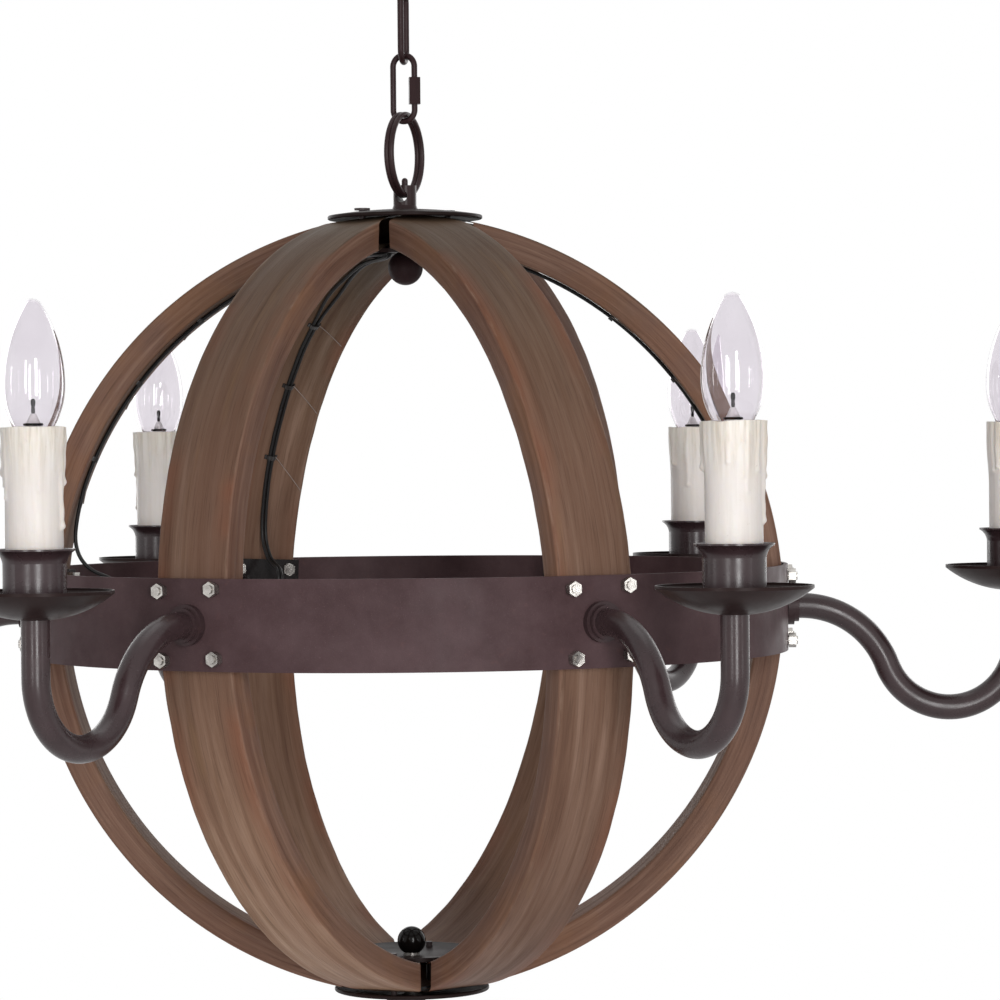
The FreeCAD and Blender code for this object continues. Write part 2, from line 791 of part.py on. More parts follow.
def make_cups():
    """Cylindrical cups with a rim that flares outwards."""
    wall = "cup_wall"
    cup = turned(
        "candle_cup_seed",
        [
            ("nipple_radius + nipple_clearance", "0"),
            ("cup_radius", "0"),
            ("cup_radius", "cup_height - cup_flare_height", "-cup_flare_bend"),
            ("cup_flare_radius", f"cup_height - {wall}"),
            ("cup_flare_radius", "cup_height", f"cup_flare_bend + {wall}"),
            (f"cup_radius - {wall}", "cup_height - cup_flare_height"),
            (f"cup_radius - {wall}", "cup_floor"),
            ("nipple_radius + nipple_clearance", "cup_floor"),
        ],
    )
    group("candle_cups", cup, candle_places(cup_z))


def make_sleeve(index, angle):
    """A wax-look sleeve over the socket, with three drips run down its side."""
    tube = Part.makeCylinder(size.sleeve_radius, size.sleeve_height)
    drip_x = size.sleeve_radius + size.drip_radius - 2 * size.drip_sink
    for step in range(3):
        length = size.drip_longest - step * size.drip_step
        foot = FreeCAD.Vector(drip_x, 0, size.sleeve_height - length)
        run = Part.makeCylinder(size.drip_radius, length, foot)
        drip = run.fuse(Part.makeSphere(size.drip_radius, foot))
        spot = size.drip_spacing * step
        drip.rotate(FreeCAD.Vector(), FreeCAD.Vector(0, 0, 1), spot)
        tube = tube.fuse(drip)
    bore = Part.makeCylinder(size.sleeve_radius - size.sleeve_wall, size.sleeve_height)
    sleeve = tube.cut(bore).removeSplitter()
    turn = FreeCAD.Rotation(FreeCAD.Vector(0, 0, 1), DRIP_TURNS[index - 1])
    place = placement(angle=angle, x=candle_radius, z=cup_floor_z, turn=turn)
    shaped(f"candle_sleeve_{index}", sleeve, place)


DRIP_TURNS = (0, 130, 215, 60, 170, 290)


def make_sockets():
    """Lamp sockets on slim stems, screwed on the nipples inside the sleeves."""
    socket = turned(
        "lamp_socket_seed",
        [
            ("nipple_radius + nipple_clearance", "0"),
            ("socket_stem_radius", "0"),
            ("socket_stem_radius", f"{SOCKET_HEIGHT} - socket_shell_height"),
            ("socket_radius", f"{SOCKET_HEIGHT} - socket_shell_height"),
            ("socket_radius", SOCKET_HEIGHT),
            ("bulb_cap_radius + socket_clearance", SOCKET_HEIGHT),
            ("bulb_cap_radius + socket_clearance", f"{SOCKET_HEIGHT} - socket_depth"),
            ("nipple_bore_radius", f"{SOCKET_HEIGHT} - socket_depth"),
            ("nipple_bore_radius", "socket_thread_depth"),
            ("nipple_radius + nipple_clearance", "socket_thread_depth"),
        ],
    )
    group("lamp_sockets", socket, candle_places(cup_floor_z))


def make_bulb(index, angle):
    """A clear candle bulb: its cap with the stem inside, and its pointed glass."""
    stem_top = "bulb_flange_height + bulb_stem_height"
    base = turned(
        f"bulb_base_{index}",
        [
            ("0", "-bulb_cap_length"),
            ("bulb_cap_radius", "-bulb_cap_length"),
            ("bulb_cap_radius", "socket_clearance"),
            ("bulb_flange_radius", "socket_clearance"),
            ("bulb_flange_radius", "bulb_flange_height"),
            ("bulb_stem_radius", "bulb_flange_height"),
            ("bulb_post_radius * 2", stem_top),
            ("bulb_post_radius", stem_top),
            ("bulb_post_radius", f"{stem_top} + bulb_post_height"),
            ("0", f"{stem_top} + bulb_post_height"),
        ],
    )
    base.Placement = placement(angle=angle, x=candle_radius, z=bulb_z)
    keep(base, f"bulb_base_{index}")

    wall = "glass_wall"
    foot = "bulb_flange_height"
    glass = turned(
        f"bulb_glass_{index}",
        [
            (f"glass_neck_radius - {wall}", foot),
            ("glass_neck_radius", foot, "glass_lower_bend"),
            ("glass_radius", "glass_widest_height", "glass_upper_bend"),
            ("glass_shoulder_radius", "glass_shoulder_height", "glass_tip_bend"),
            ("glass_tip_flat", "glass_height"),
            ("0", "glass_height"),
            ("0", f"glass_height - {wall}"),
            ("glass_tip_flat", f"glass_height - {wall}", f"-(glass_tip_bend - {wall})"),
            (
                f"glass_shoulder_radius - {wall}",
                "glass_shoulder_height",
                f"-(glass_upper_bend - {wall})",
            ),
            (f"glass_radius - {wall}", "glass_widest_height", f"-(glass_lower_bend - {wall})"),
        ],
    )
    glass.Placement = placement(angle=angle, x=candle_radius, z=bulb_z)
    keep(glass, f"bulb_glass_{index}")


# ---- the poles ----

DISCS = {
    "outer": ("disc_radius", "disc_dome", "outer_disc_thickness"),
    "inner": ("inner_disc_radius", "inner_disc_dome", "inner_disc_thickness"),
}


def disc_rise(kind, x):
    """How far a disc's domed face stands over its rim at a radius."""
    radius, dome, _ = (number(name) for name in DISCS[kind])
    bend = (radius**2 + dome**2) / (2 * dome)
    return math.sqrt(bend**2 - x**2) - bend + dome


def make_disc(label, kind, turn, screw_turn, z, slots=False, rounded=False):
    """A domed disc with the rod's hole and two screw holes, its crown on its +Z side."""
    name = label
    radius, dome, thickness = DISCS[kind]
    bend = f"(({radius}^2 + {dome}^2) / (2 * {dome}))"
    body = new_body(name)
    outline = new_sketch(body, "XZ_Plane", f"{name}_outline")
    crown = f"(sqrt({bend}^2 - (rod_radius + rod_clearance)^2) - {bend} + {dome})"
    hole = "rod_radius + rod_clearance"
    add_outline(
        outline,
        [
            (hole, crown, f"-{bend}"),
            (radius, "0"),
            (radius, thickness, bend),
            (hole, f"{crown} + {thickness}"),
        ],
    )
    revolve(body, outline, f"{name}_turning")
    screws = new_sketch(body, "XY_Plane", f"{name}_screws")
    for side in ("0 deg", "180 deg"):
        add_circle(
            screws,
            f"disc_screw_circle * cos({screw_turn} + {side})",
            f"disc_screw_circle * sin({screw_turn} + {side})",
            "disc_screw_radius + disc_screw_clearance",
        )
    pocket(body, screws, f"{name}_screw_holes", midplane=True)
    if slots:
        slot = new_sketch(body, "XY_Plane", f"{name}_slot")
        near, far = "lead_slot_circle - lead_slot_depth / 2", "lead_slot_circle + lead_slot_depth / 2"
        half = "lead_slot_width / 2"
        add_outline(slot, [(near, f"-{half}"), (far, f"-{half}"), (far, half), (near, half)])
        cut = pocket(body, slot, f"{name}_slot_cut", midplane=True)
        polar(body, [cut], f"{name}_slots", "rib_count")
    if rounded:
        doc.recompute()
        rim = [
            f"Edge{k + 1}"
            for k, edge in enumerate(body.Shape.Edges)
            if isinstance(edge.Curve, Part.Circle)
            and abs(edge.Curve.Radius - size.disc_radius) < size.disc_edge_round / 10
        ]
        tip = body.Tip
        edge_round = body.newObject("PartDesign::Fillet", f"{name}_edge")
        edge_round.Base = (tip, rim)
        edge_round.setExpression("Radius", bound("disc_edge_round"))
    body.Placement = placement(angle=SCREW_ANGLE, z=z, turn=turn)
    return keep(body, label)


def make_poles():
    """The disc pairs that clamp the ribs, the rods through them, and what the rods hold."""
    upright = FreeCAD.Rotation()
    top_outer_z = top_pole_z + outer_disc_height - size.disc_dome
    top_inner_z = top_pole_z + inner_disc_height - size.inner_disc_thickness
    low_outer_z = top_pole_z - outer_disc_height + size.disc_dome
    low_inner_z = top_pole_z - inner_disc_height + size.inner_disc_thickness
    make_disc("top_outer_disc", "outer", upright, TOP_SCREW_TURN, top_outer_z, rounded=True)
    make_disc("top_inner_disc", "inner", upright, TOP_SCREW_TURN, top_inner_z, slots=True)
    flipped = "-mitre_turn * 1 deg"
    make_disc("bottom_outer_disc", "outer", HALF_TURN, flipped, low_outer_z, rounded=True)
    make_disc("bottom_inner_disc", "inner", HALF_TURN, flipped, low_inner_z)

    top_ball_z = top_inner_z + size.inner_disc_dome - size.top_ball_radius
    low_ball_z = low_inner_z - size.inner_disc_dome + size.bottom_ball_radius
    make_ball("top_ball", "top_ball_radius", upright, top_ball_z)
    make_ball("bottom_ball", "bottom_ball_radius", HALF_TURN, low_ball_z)

    rods = [
        (top_ball_z + size.top_ball_radius - size.rod_seat_depth, block_z + size.block_rod_depth),
        (low_outer_z - size.disc_dome - size.outer_disc_thickness - size.rod_seat_depth,
         low_ball_z - size.bottom_ball_radius + size.rod_seat_depth),
    ]
    solids = [
        Part.makeCylinder(size.rod_radius, high - low, FreeCAD.Vector(0, 0, low)) for low, high in rods
    ]
    shaped("centre_rods", Part.Compound(solids), FreeCAD.Placement())

    cap = turned(
        "bottom_cap_nut",
        [
            ("rod_radius + thread_clearance", "0"),
            ("cap_nut_radius", "0"),
            ("cap_nut_radius", "cap_nut_height / 3", "cap_nut_radius * 1.2"),
            ("cap_nut_flat", "cap_nut_height"),
            ("0", "cap_nut_height"),
            ("0", "rod_seat_depth + thread_clearance"),
            ("rod_radius + thread_clearance", "rod_seat_depth + thread_clearance"),
        ],
    )
    cap_z = low_outer_z - size.disc_dome - size.outer_disc_thickness
    cap.Placement = placement(z=cap_z, turn=HALF_TURN)
    keep(cap, "bottom_cap_nut")
    make_disc_screws(top_outer_z, top_inner_z, low_outer_z, low_inner_z)


def make_ball(label, radius, turn, z):
    """A ball drilled from its top for the rod's end."""
    hole = "(rod_radius + thread_clearance)"
    shoulder = f"sqrt({radius}^2 - {hole}^2)"
    ball = turned(
        label,
        [
            ("0", f"-{radius}", radius),
            (radius, "0", radius),
            (hole, shoulder),
            (hole, f"{radius} - rod_seat_depth - thread_clearance"),
            ("0", f"{radius} - rod_seat_depth - thread_clearance"),
        ],
    )
    ball.Placement = placement(z=z, turn=turn)
    return keep(ball, label)


def make_disc_screws(top_outer_z, top_inner_z, low_outer_z, low_inner_z):
    """Two screws at each pole, through both discs and an opposite pair of ribs."""
    circle = size.disc_screw_circle
    seat = (
        top_outer_z + size.outer_disc_thickness
        + disc_rise("outer", circle - size.disc_screw_head_radius)
    )
    length = seat - top_inner_z - disc_rise("inner", circle) + size.disc_screw_tip
    head = Part.makeCylinder(size.disc_screw_head_radius, size.disc_screw_head_height)
    shank = Part.makeCylinder(
        size.disc_screw_radius, length, FreeCAD.Vector(), FreeCAD.Vector(0, 0, -1)
    )
    screw = head.fuse(shank).removeSplitter()
    screws = []
    for side in (0, 180):
        top = screw.copy()
        top.Placement = placement(
            angle=SCREW_ANGLE + number(TOP_SCREW_TURN) + side, x=circle, z=seat
        )
        low = screw.copy()
        low_angle = SCREW_ANGLE + number(BOTTOM_SCREW_TURN) + side
        low.Placement = placement(
            angle=low_angle, x=circle, z=2 * top_pole_z - seat, turn=HALF_TURN
        )
        screws += [top, low]
    shaped("disc_screws", Part.Compound(screws), FreeCAD.Placement())


# ---- the hanging hardware ----

def make_block():
    """The turned block on the top disc, cross-drilled for the ring."""
    body = new_body("hanger_block")
    outline = new_sketch(body, "XZ_Plane", "hanger_block_outline")
    hole = "(rod_radius + thread_clearance)"
    screw = "(block_screw_radius + thread_clearance)"
    add_outline(
        outline,
        [
            (hole, "0"),
            ("block_foot_radius", "0"),
            ("block_radius", "block_foot_height"),
            ("block_radius", "block_height"),
            (screw, "block_height"),
            (screw, "block_height - block_screw_depth - thread_clearance"),
            ("0", "block_height - block_screw_depth - thread_clearance"),
            ("0", "block_rod_depth + thread_clearance"),
            (hole, "block_rod_depth + thread_clearance"),
        ],
    )
    revolve(body, outline, "hanger_block_turning")
    hole_sketch = new_sketch(body, "YZ_Plane", "hanger_block_hole")
    add_circle(hole_sketch, "0", "block_hole_height", "block_hole_radius")
    pocket(body, hole_sketch, "hanger_block_drilling", midplane=True)
    body.Placement = placement(angle=size.ring_direction, z=block_z)
    keep(body, "hanger_block")

    stud = turned(
        "hanger_screw",
        [
            ("0", "-block_screw_depth"),
            ("block_screw_radius", "-block_screw_depth"),
            ("block_screw_radius", "block_screw_height - block_screw_radius", "block_screw_radius"),
            ("0", "block_screw_height"),
        ],
    )
    stud.Placement = placement(z=block_z + size.block_height)
    keep(stud, "hanger_screw")


def make_ring():
    """The split ring: two turns of wire side by side."""
    turns = []
    for side in (-1, 1):
        turn = doc.addObject("Part::Torus", "ring_turn")
        turn.setExpression("Radius1", bound("ring_radius"))
        turn.setExpression("Radius2", bound("ring_wire_radius"))
        turn.setExpression("Placement.Base.z", bound(f"{side} * ring_turn_spacing / 2"))
        turns.append(turn)
    ring = doc.addObject("Part::Fuse", "hanging_ring")
    ring.Base, ring.Tool = turns
    upright = FreeCAD.Rotation(FreeCAD.Vector(1, 0, 0), 90)
    ring.Placement = placement(angle=size.ring_direction, z=ring_z, turn=upright)
    keep(ring, "hanging_ring")


def link_wire(half_width, pitch, gap=0.0, drop=0.0):
    """The middle line of an oblong link in the XZ plane.

    A gap opens it at its +X side, that far below its middle.
    """
    straight = pitch / 2 - half_width
    right, left = half_width, -half_width

    def point(x, z):
        return FreeCAD.Vector(x, 0, z)

    edges = [
        Part.makeLine(point(right, gap / 2 - drop), point(right, straight)),
        Part.Arc(point(right, straight), point(0, pitch / 2), point(left, straight)).toShape(),
        Part.makeLine(point(left, straight), point(left, -straight)),
        Part.Arc(point(left, -straight), point(0, -pitch / 2), point(right, -straight)).toShape(),
        Part.makeLine(point(right, -straight), point(right, -gap / 2 - drop)),
    ]
    return Part.Wire(edges)


def swept_rod(path, radius):
    """A round rod along a path that starts upwards."""
    start = path.Edges[0].Vertexes[0].Point
    ring = Part.Wire(Part.makeCircle(radius, start, FreeCAD.Vector(0, 0, 1)))
    return path.makePipeShell([ring], True, False)


def make_links():
    """The quick link with its sleeve nut, and the two chain links."""
    path = link_wire(
        size.quick_link_half_width, quick_pitch, size.quick_link_gap, size.quick_link_gap_drop
    )
    place = placement(angle=size.quick_link_direction, z=quick_link_z)
    shaped("quick_link", swept_rod(path, size.quick_link_wire_radius), place)

    nut = new_body("quick_link_nut")
    outline = new_sketch(nut, "XY_Plane", "quick_link_nut_outline")
    add_hexagon(outline, "quick_nut_across")
    add_circle(outline, "0", "0", "quick_link_wire_radius + quick_nut_clearance")
    pad(nut, outline, "quick_link_nut_pad", "quick_nut_height")
    nut.Placement = placement(
        angle=size.quick_link_direction,
        x=size.quick_link_half_width,
        z=quick_link_z - size.quick_nut_height / 2 - size.quick_nut_drop,
    )
    keep(nut, "quick_link_nut")

    for label, z, direction in (
        ("chain_link_1", lower_link_z, size.lower_link_direction),
        ("chain_link_2", upper_link_z, size.upper_link_direction),
    ):
        path = link_wire(size.chain_link_half_width, chain_pitch)
        halves = swept_rod(path, size.chain_wire_radius)
        shaped(label, halves, placement(angle=direction, z=z))


# ---- the lamp leads ----

def tangent_arc(start, heading, end):
    """The arc that leaves start along heading and reaches end, with its heading there."""
    chord = end - start
    side = heading.cross(FreeCAD.Vector(0, 1, 0))
    across = chord.dot(side)
    radius = chord.Length**2 / (2 * across)
    centre = start + side * radius
    swing = math.degrees(2 * math.atan2(across, chord.dot(heading)))
    axis = FreeCAD.Vector(0, -1, 0)
    middle = centre + FreeCAD.Rotation(axis, swing / 2).multVec(start - centre)
    return Part.Arc(start, middle, end).toShape(), FreeCAD.Rotation(axis, swing).multVec(heading)


def in_plane(x, z):
    """A point of the arm's upright plane."""
    return FreeCAD.Vector(x, 0, z)


def arm_run():
    """The lead from its socket down through the nipple and back through the arm."""
    start_x, turn = arm_start, arm_turn
    upper = in_plane(start_x, -upper_bend)
    lower = in_plane(low_centre_x, low_centre_z)
    outer = candle_radius
    top = in_plane(outer, cup_floor_z - band_z + socket_height - size.socket_depth - size.lead_tail)
    low_end = in_plane(outer, low_centre_z)
    meet = upper + in_plane(math.sin(turn), math.cos(turn)) * upper_bend
    bottom = (math.pi / 2 - turn) / 2
    lower_middle = lower + in_plane(math.sin(bottom), -math.cos(bottom)) * size.arm_lower_bend
    upper_middle = upper + in_plane(math.sin(turn / 2), math.cos(turn / 2)) * upper_bend
    level = in_plane(start_x, 0)
    leave = in_plane(arm_inner_x - size.lead_exit, 0)
    return [
        Part.makeLine(top, low_end),
        Part.Arc(low_end, lower_middle, meet).toShape(),
        Part.Arc(meet, upper_middle, level).toShape(),
        Part.makeLine(level, leave),
    ], leave


def rib_run(start):
    """The lead from the arm's inner end round a bend and up the rib's inner face."""
    radius = inner_bend - size.lead_thickness / 2 - size.lead_face_gap
    centre = in_plane(bend_centre, size.globe_rise)

    def on_rib(degrees):
        angle = math.radians(degrees)
        return centre + in_plane(math.cos(angle), math.sin(angle)) * radius

    join = on_rib(size.lead_rise_angle)
    slope = math.radians(size.lead_rise_angle)
    along = in_plane(-math.sin(slope), math.cos(slope))
    hub = start + in_plane(0, size.lead_bend)
    low, high = math.radians(60), math.radians(170)
    # the bend turns just so far that the easing arc after it meets the rib's face smoothly
    for _ in range(60):
        swing = (low + high) / 2
        leave = hub - in_plane(math.sin(swing), math.cos(swing)) * size.lead_bend
        easing, arriving = tangent_arc(leave, in_plane(-math.cos(swing), math.sin(swing)), join)
        if arriving.cross(along).y < 0:
            low = swing
        else:
            high = swing
    middle = hub - in_plane(math.sin(swing / 2), math.cos(swing / 2)) * size.lead_bend
    end = on_rib(size.lead_top_angle)
    half_way = on_rib((size.lead_rise_angle + size.lead_top_angle) / 2)
    slope = math.radians(size.lead_top_angle)
    edges = [
        Part.Arc(start, middle, leave).toShape(),
        easing,
        Part.Arc(join, half_way, end).toShape(),
    ]
    return edges, end, in_plane(-math.sin(slope), math.cos(slope))


def disc_underside(x):
    """The underside of the top inner disc at a radius, above the band's middle."""
    rim = size.globe_rise + inner_disc_height - size.inner_disc_thickness
    return rim + disc_rise("inner", x)


def disc_run(start, heading):
    """The lead from the rib's face in below the top inner disc, and up through its slot."""
    drop = size.lead_thickness / 2 + size.lead_disc_gap
    edge = size.inner_disc_radius
    rim = in_plane(edge + 1, disc_underside(edge) - drop)
    first, heading = tangent_arc(start, heading, rim)
    slot = size.lead_slot_circle
    radius = size.lead_slot_bend
    rise = 0.0
    for _ in range(8):
        corner = in_plane(slot + radius * (1 - math.sin(rise)), disc_underside(slot) - drop)
        second, arriving = tangent_arc(rim, heading, corner)
        rise = math.asin(arriving.z)
    turned_up = corner + in_plane(math.sin(rise) - 1, math.cos(rise)) * radius
    last, _ = tangent_arc(corner, arriving, turned_up)
    tail = in_plane(slot, disc_underside(slot) + size.inner_disc_thickness + size.lead_tail)
    return [first, second, last, Part.makeLine(turned_up, tail)]


def lead_path():
    """A lead's middle line in its arm's plane, from its socket to the top of the globe."""
    in_arm, leave = arm_run()
    on_rib, end, heading = rib_run(leave)
    return Part.Wire(in_arm + on_rib + disc_run(end, heading))


def make_leads():
    """Flat two-core leads, each from its socket through the arm and up its rib."""
    path = lead_path()
    start = path.Edges[0].Vertexes[0].Point
    half_width, half_thickness = size.lead_width / 2, size.lead_thickness / 2
    corners = [
        FreeCAD.Vector(start.x + dx, dy, start.z)
        for dx, dy in (
            (-half_thickness, -half_width),
            (half_thickness, -half_width),
            (half_thickness, half_width),
            (-half_thickness, half_width),
            (-half_thickness, -half_width),
        )
    ]
    lead = path.makePipeShell([Part.makePolygon(corners)], True, False, 1)
    leads = []
    for angle in RIB_ANGLES:
        copy = lead.copy()
        copy.Placement = placement(angle=angle, z=band_z)
        leads.append(copy)
    shaped("lamp_leads", Part.Compound(leads), FreeCAD.Placement())


def make_clips():
    """Bridge-shaped clips that hold each lead on its rib."""
    channel = size.lead_thickness + size.lead_face_gap + size.clip_clearance
    seat = math.sqrt(inner_bend**2 - (size.clip_depth / 2) ** 2)
    height = channel + size.clip_cover
    outer = Part.makeBox(
        height, size.clip_width, size.clip_depth,
        FreeCAD.Vector(seat - height, -size.clip_width / 2, -size.clip_depth / 2),
    )
    gap_width = size.lead_width + size.clip_clearance
    inner = Part.makeBox(
        height, gap_width, size.clip_depth,
        FreeCAD.Vector(seat - channel, -gap_width / 2, -size.clip_depth / 2),
    )
    clip = outer.cut(inner)
    clips = []
    count = int(size.clip_count)
    for angle in RIB_ANGLES:
        for index in range(count):
            share = index / max(count - 1, 1)
            up = size.clip_first_angle + (size.clip_last_angle - size.clip_first_angle) * share
            height = size.globe_rise + inner_bend * math.sin(math.radians(up))
            lift = FreeCAD.Placement(
                FreeCAD.Vector(bend_centre, height * math.tan(LEAN_RADIANS), size.globe_rise),
                FreeCAD.Rotation(FreeCAD.Vector(0, 1, 0), -up),
            )
            copy = clip.copy()
            copy.Placement = placement(angle=angle, lean=LEAN, z=band_z) * lift
            clips.append(copy)
    shaped("lead_clips", Part.Compound(clips), FreeCAD.Placement())


def build():
    make_band()
    for index, angle in enumerate(RIB_ANGLES, start=1):
        make_rib(index, angle)
        make_arm(index, angle)
        make_sleeve(index, angle)
        make_bulb(index, angle)
    make_backing_plates()
    make_bolts()
    make_arm_hardware()
    make_dishes()
    make_cups()
    make_sockets()
    make_poles()
    make_block()
    make_ring()
    make_links()
    make_leads()
    make_clips()
    doc.recompute()


def check():
    """Stops before anything is written if an object failed or a sub-part's shape isn't sound."""
    for thing in doc.Objects:
        if "Invalid" in thing.State or "Error" in thing.State:
            raise SystemExit(f"{thing.Label} failed: {thing.State}")
    for thing in parts:
        shape = thing.Shape
        if shape.isNull() or not shape.isValid() or not shape.Solids:
            raise SystemExit(f"{thing.Label} has no sound shape")


def write():
    os.makedirs("parts", exist_ok=True)
    for thing in parts:
        thing.Shape.exportStep(os.path.join("parts", f"{thing.Label}.step"))


build()
check()
write()
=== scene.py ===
"""The look of the orb chandelier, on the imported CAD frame.

Metres, Z up, with the origin at the ceiling hook. The pieces made here are drawn in millimetres
from the middle of the band.
"""
import json
import math
import random

import bmesh
import bpy
from mathutils import Matrix, Vector, noise


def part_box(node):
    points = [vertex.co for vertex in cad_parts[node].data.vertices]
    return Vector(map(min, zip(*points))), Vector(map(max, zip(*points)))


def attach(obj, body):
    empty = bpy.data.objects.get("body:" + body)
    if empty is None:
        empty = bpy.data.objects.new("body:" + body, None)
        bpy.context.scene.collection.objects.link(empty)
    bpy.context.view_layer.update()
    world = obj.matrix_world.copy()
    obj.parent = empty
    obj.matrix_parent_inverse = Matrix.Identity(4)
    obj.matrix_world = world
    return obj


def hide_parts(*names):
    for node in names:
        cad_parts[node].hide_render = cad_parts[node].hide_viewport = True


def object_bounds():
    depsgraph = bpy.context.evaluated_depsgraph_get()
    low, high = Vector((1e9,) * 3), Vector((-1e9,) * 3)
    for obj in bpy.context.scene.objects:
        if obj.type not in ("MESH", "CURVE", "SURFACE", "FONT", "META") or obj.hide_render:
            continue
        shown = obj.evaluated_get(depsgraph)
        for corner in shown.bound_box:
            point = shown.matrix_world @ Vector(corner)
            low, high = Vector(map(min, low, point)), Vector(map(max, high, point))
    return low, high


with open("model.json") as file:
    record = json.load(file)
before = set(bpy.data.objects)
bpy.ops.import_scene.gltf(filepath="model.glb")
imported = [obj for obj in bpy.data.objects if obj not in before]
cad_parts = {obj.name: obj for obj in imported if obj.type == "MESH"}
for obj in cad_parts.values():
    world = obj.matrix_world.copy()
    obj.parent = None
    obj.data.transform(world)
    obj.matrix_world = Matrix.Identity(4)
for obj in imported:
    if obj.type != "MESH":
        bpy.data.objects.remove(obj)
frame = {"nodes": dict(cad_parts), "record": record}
CAD_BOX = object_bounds()

MM = 0.001
COUNT = 6
ANGLES = [-60 + 60 * k for k in range(COUNT)]
band_low, band_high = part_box("band")
BAND_Z = (band_low.z + band_high.z) / 2

# sizes that repeat the part's, in millimetres and degrees
BEND_OUTER, RIB_THICK, RIB_WIDTH = 246.0, 17.0, 50.0
BEND_INNER = BEND_OUTER - RIB_THICK
BEND_X, RISE, LEAN = -9.92, 3.6, 2.2
MITRE_TURN, MITRE_GAP, MITRE_HALF = 11.0, 6.0, 30.0
CANDLE_CIRCLE = 384.0
SLEEVE_RADIUS, SLEEVE_WALL, SLEEVE_HEIGHT = 16.2, 1.6, 101.5
CAP_HEIGHT = 2.0

# a lamp lead's route in its arm's upright plane: out from the axis, and up from the band's middle
LEAD_ROUTE = (
    (384.0, 20.0), (384.0, -2.0), (384.0, -44.0), (350.3, -69.3), (310.0, -57.4), (296.3, -20.7),
    (266.5, 0.0), (210.0, 0.0), (188.5, 0.0), (184.0, 19.5), (203.5, 26.0), (212.2, 41.0),
    (209.6, 63.0), (202.0, 89.6), (183.4, 125.8), (158.7, 158.1), (128.7, 185.5), (94.3, 207.2),
    (56.6, 222.0), (34.0, 222.7), (21.6, 224.6), (22.0, 229.3),
)
# how far up the rib's bend each clip sits
CLIP_ANGLES = (24.0, 38.0, 52.0)
# the azimuth at which each candle's longest run of wax hangs
SLEEVE_RUNS = (-12.0, 60.0, 20.0, 168.0, 235.0, 345.0)

# the angle between two faces above which their edge stays sharp
CAD_EDGE, PIECE_EDGE, RIB_EDGE, CLIP_EDGE, ROUND_EDGE = 32, 40, 36, 50, 60


# ---- materials ----

class Nodes:
    """A node tree under construction."""

    def __init__(self, tree):
        self.tree = tree
        tree.nodes.clear()

    def add(self, kind, settings=None, **inputs):
        """A new node with its settings and inputs; i0, i1 and so on are inputs by number."""
        made = self.tree.nodes.new(kind)
        for key, value in (settings or {}).items():
            setattr(made, key, value)
        for key, value in inputs.items():
            self.plug(made, key.replace("_", " "), value)
        return made

    def plug(self, made, name, value):
        """Links a socket to an input, or sets the input where it is the same all over."""
        numbered = name[0] == "i" and name[1:].isdigit()
        socket = made.inputs[int(name[1:]) if numbered else name]
        if isinstance(value, bpy.types.NodeSocket):
            self.tree.links.new(value, socket)
        else:
            socket.default_value = value

    def math(self, operation, a, b=0.0):
        return self.add("ShaderNodeMath", {"operation": operation}, i0=a, i1=b).outputs[0]

    def seen(self):
        """1 for rays straight from the camera, through glass or off a glossy face, else 0."""
        path = self.add("ShaderNodeLightPath").outputs
        direct = self.math("MAXIMUM", path["Is Camera Ray"], path["Is Transmission Ray"])
        return self.math("MAXIMUM", direct, path["Is Glossy Ray"])


class Shade(Nodes):
    """A node material under construction."""

    def __init__(self, name):
        self.material = bpy.data.materials.new(name)
        self.material.use_nodes = True
        super().__init__(self.material.node_tree)

    def coords(self, scale=(1, 1, 1), attribute=None):
        """Points of the surface, or of a vector attribute, in metres times the scale."""
        if attribute:
            source = self.add("ShaderNodeAttribute", {"attribute_name": attribute})
            source = source.outputs["Vector"]
        else:
            source = self.add("ShaderNodeTexCoord").outputs["Object"]
        return self.add("ShaderNodeMapping", Vector=source, Scale=scale).outputs[0]

    def noise(self, vector, scale=1.0, detail=3.0, rough=0.5, distortion=0.0):
        made = self.add("ShaderNodeTexNoise", Vector=vector, Scale=scale, Detail=detail,
                        Roughness=rough, Distortion=distortion)
        return made.outputs["Fac"]

    def ramp(self, value, *stops):
        """Colours or grey levels along the value, each stop as (place, colour or level)."""
        made = self.add("ShaderNodeValToRGB", Fac=value)
        elements = made.color_ramp.elements
        while len(elements) < len(stops):
            elements.new(0.5)
        for element, (spot, colour) in zip(elements, stops):
            rgb = colour if isinstance(colour, tuple) else (colour,) * 3
            element.position = spot
            element.color = (*rgb, 1)
        return made.outputs["Color"]

    def mix(self, factor, a, b, blend="MIX"):
        made = self.add("ShaderNodeMix", {"data_type": "RGBA", "blend_type": blend}, i0=factor)
        for spot, value in (("i6", a), ("i7", b)):
            self.plug(made, spot, (*value, 1) if isinstance(value, tuple) else value)
        return made.outputs[2]

    def touch(self, colour, other, mask, share):
        """The colour with a share of the other one wherever the mask is 1."""
        return self.mix(self.math("MULTIPLY", mask, share), colour, other)

    def between(self, value, low, high, to_low=0.0, to_high=1.0):
        made = self.add("ShaderNodeMapRange", i0=value, i1=low, i2=high, i3=to_low, i4=to_high)
        return made.outputs[0]

    def bump(self, height, strength, distance, **under):
        made = self.add("ShaderNodeBump", Height=height, Strength=strength, Distance=distance,
                        **under)
        return made.outputs[0]

    def output(self, shader):
        self.add("ShaderNodeOutputMaterial", Surface=shader)
        return self.material

    def finish(self, **inputs):
        return self.output(self.add("ShaderNodeBsdfPrincipled", **inputs).outputs[0])


def tinted(colour, *factors):
    """The colour with its channels multiplied, by one factor or by three."""
    factors = factors * 3 if len(factors) == 1 else factors
    return tuple(value * factor for value, factor in zip(colour, factors))


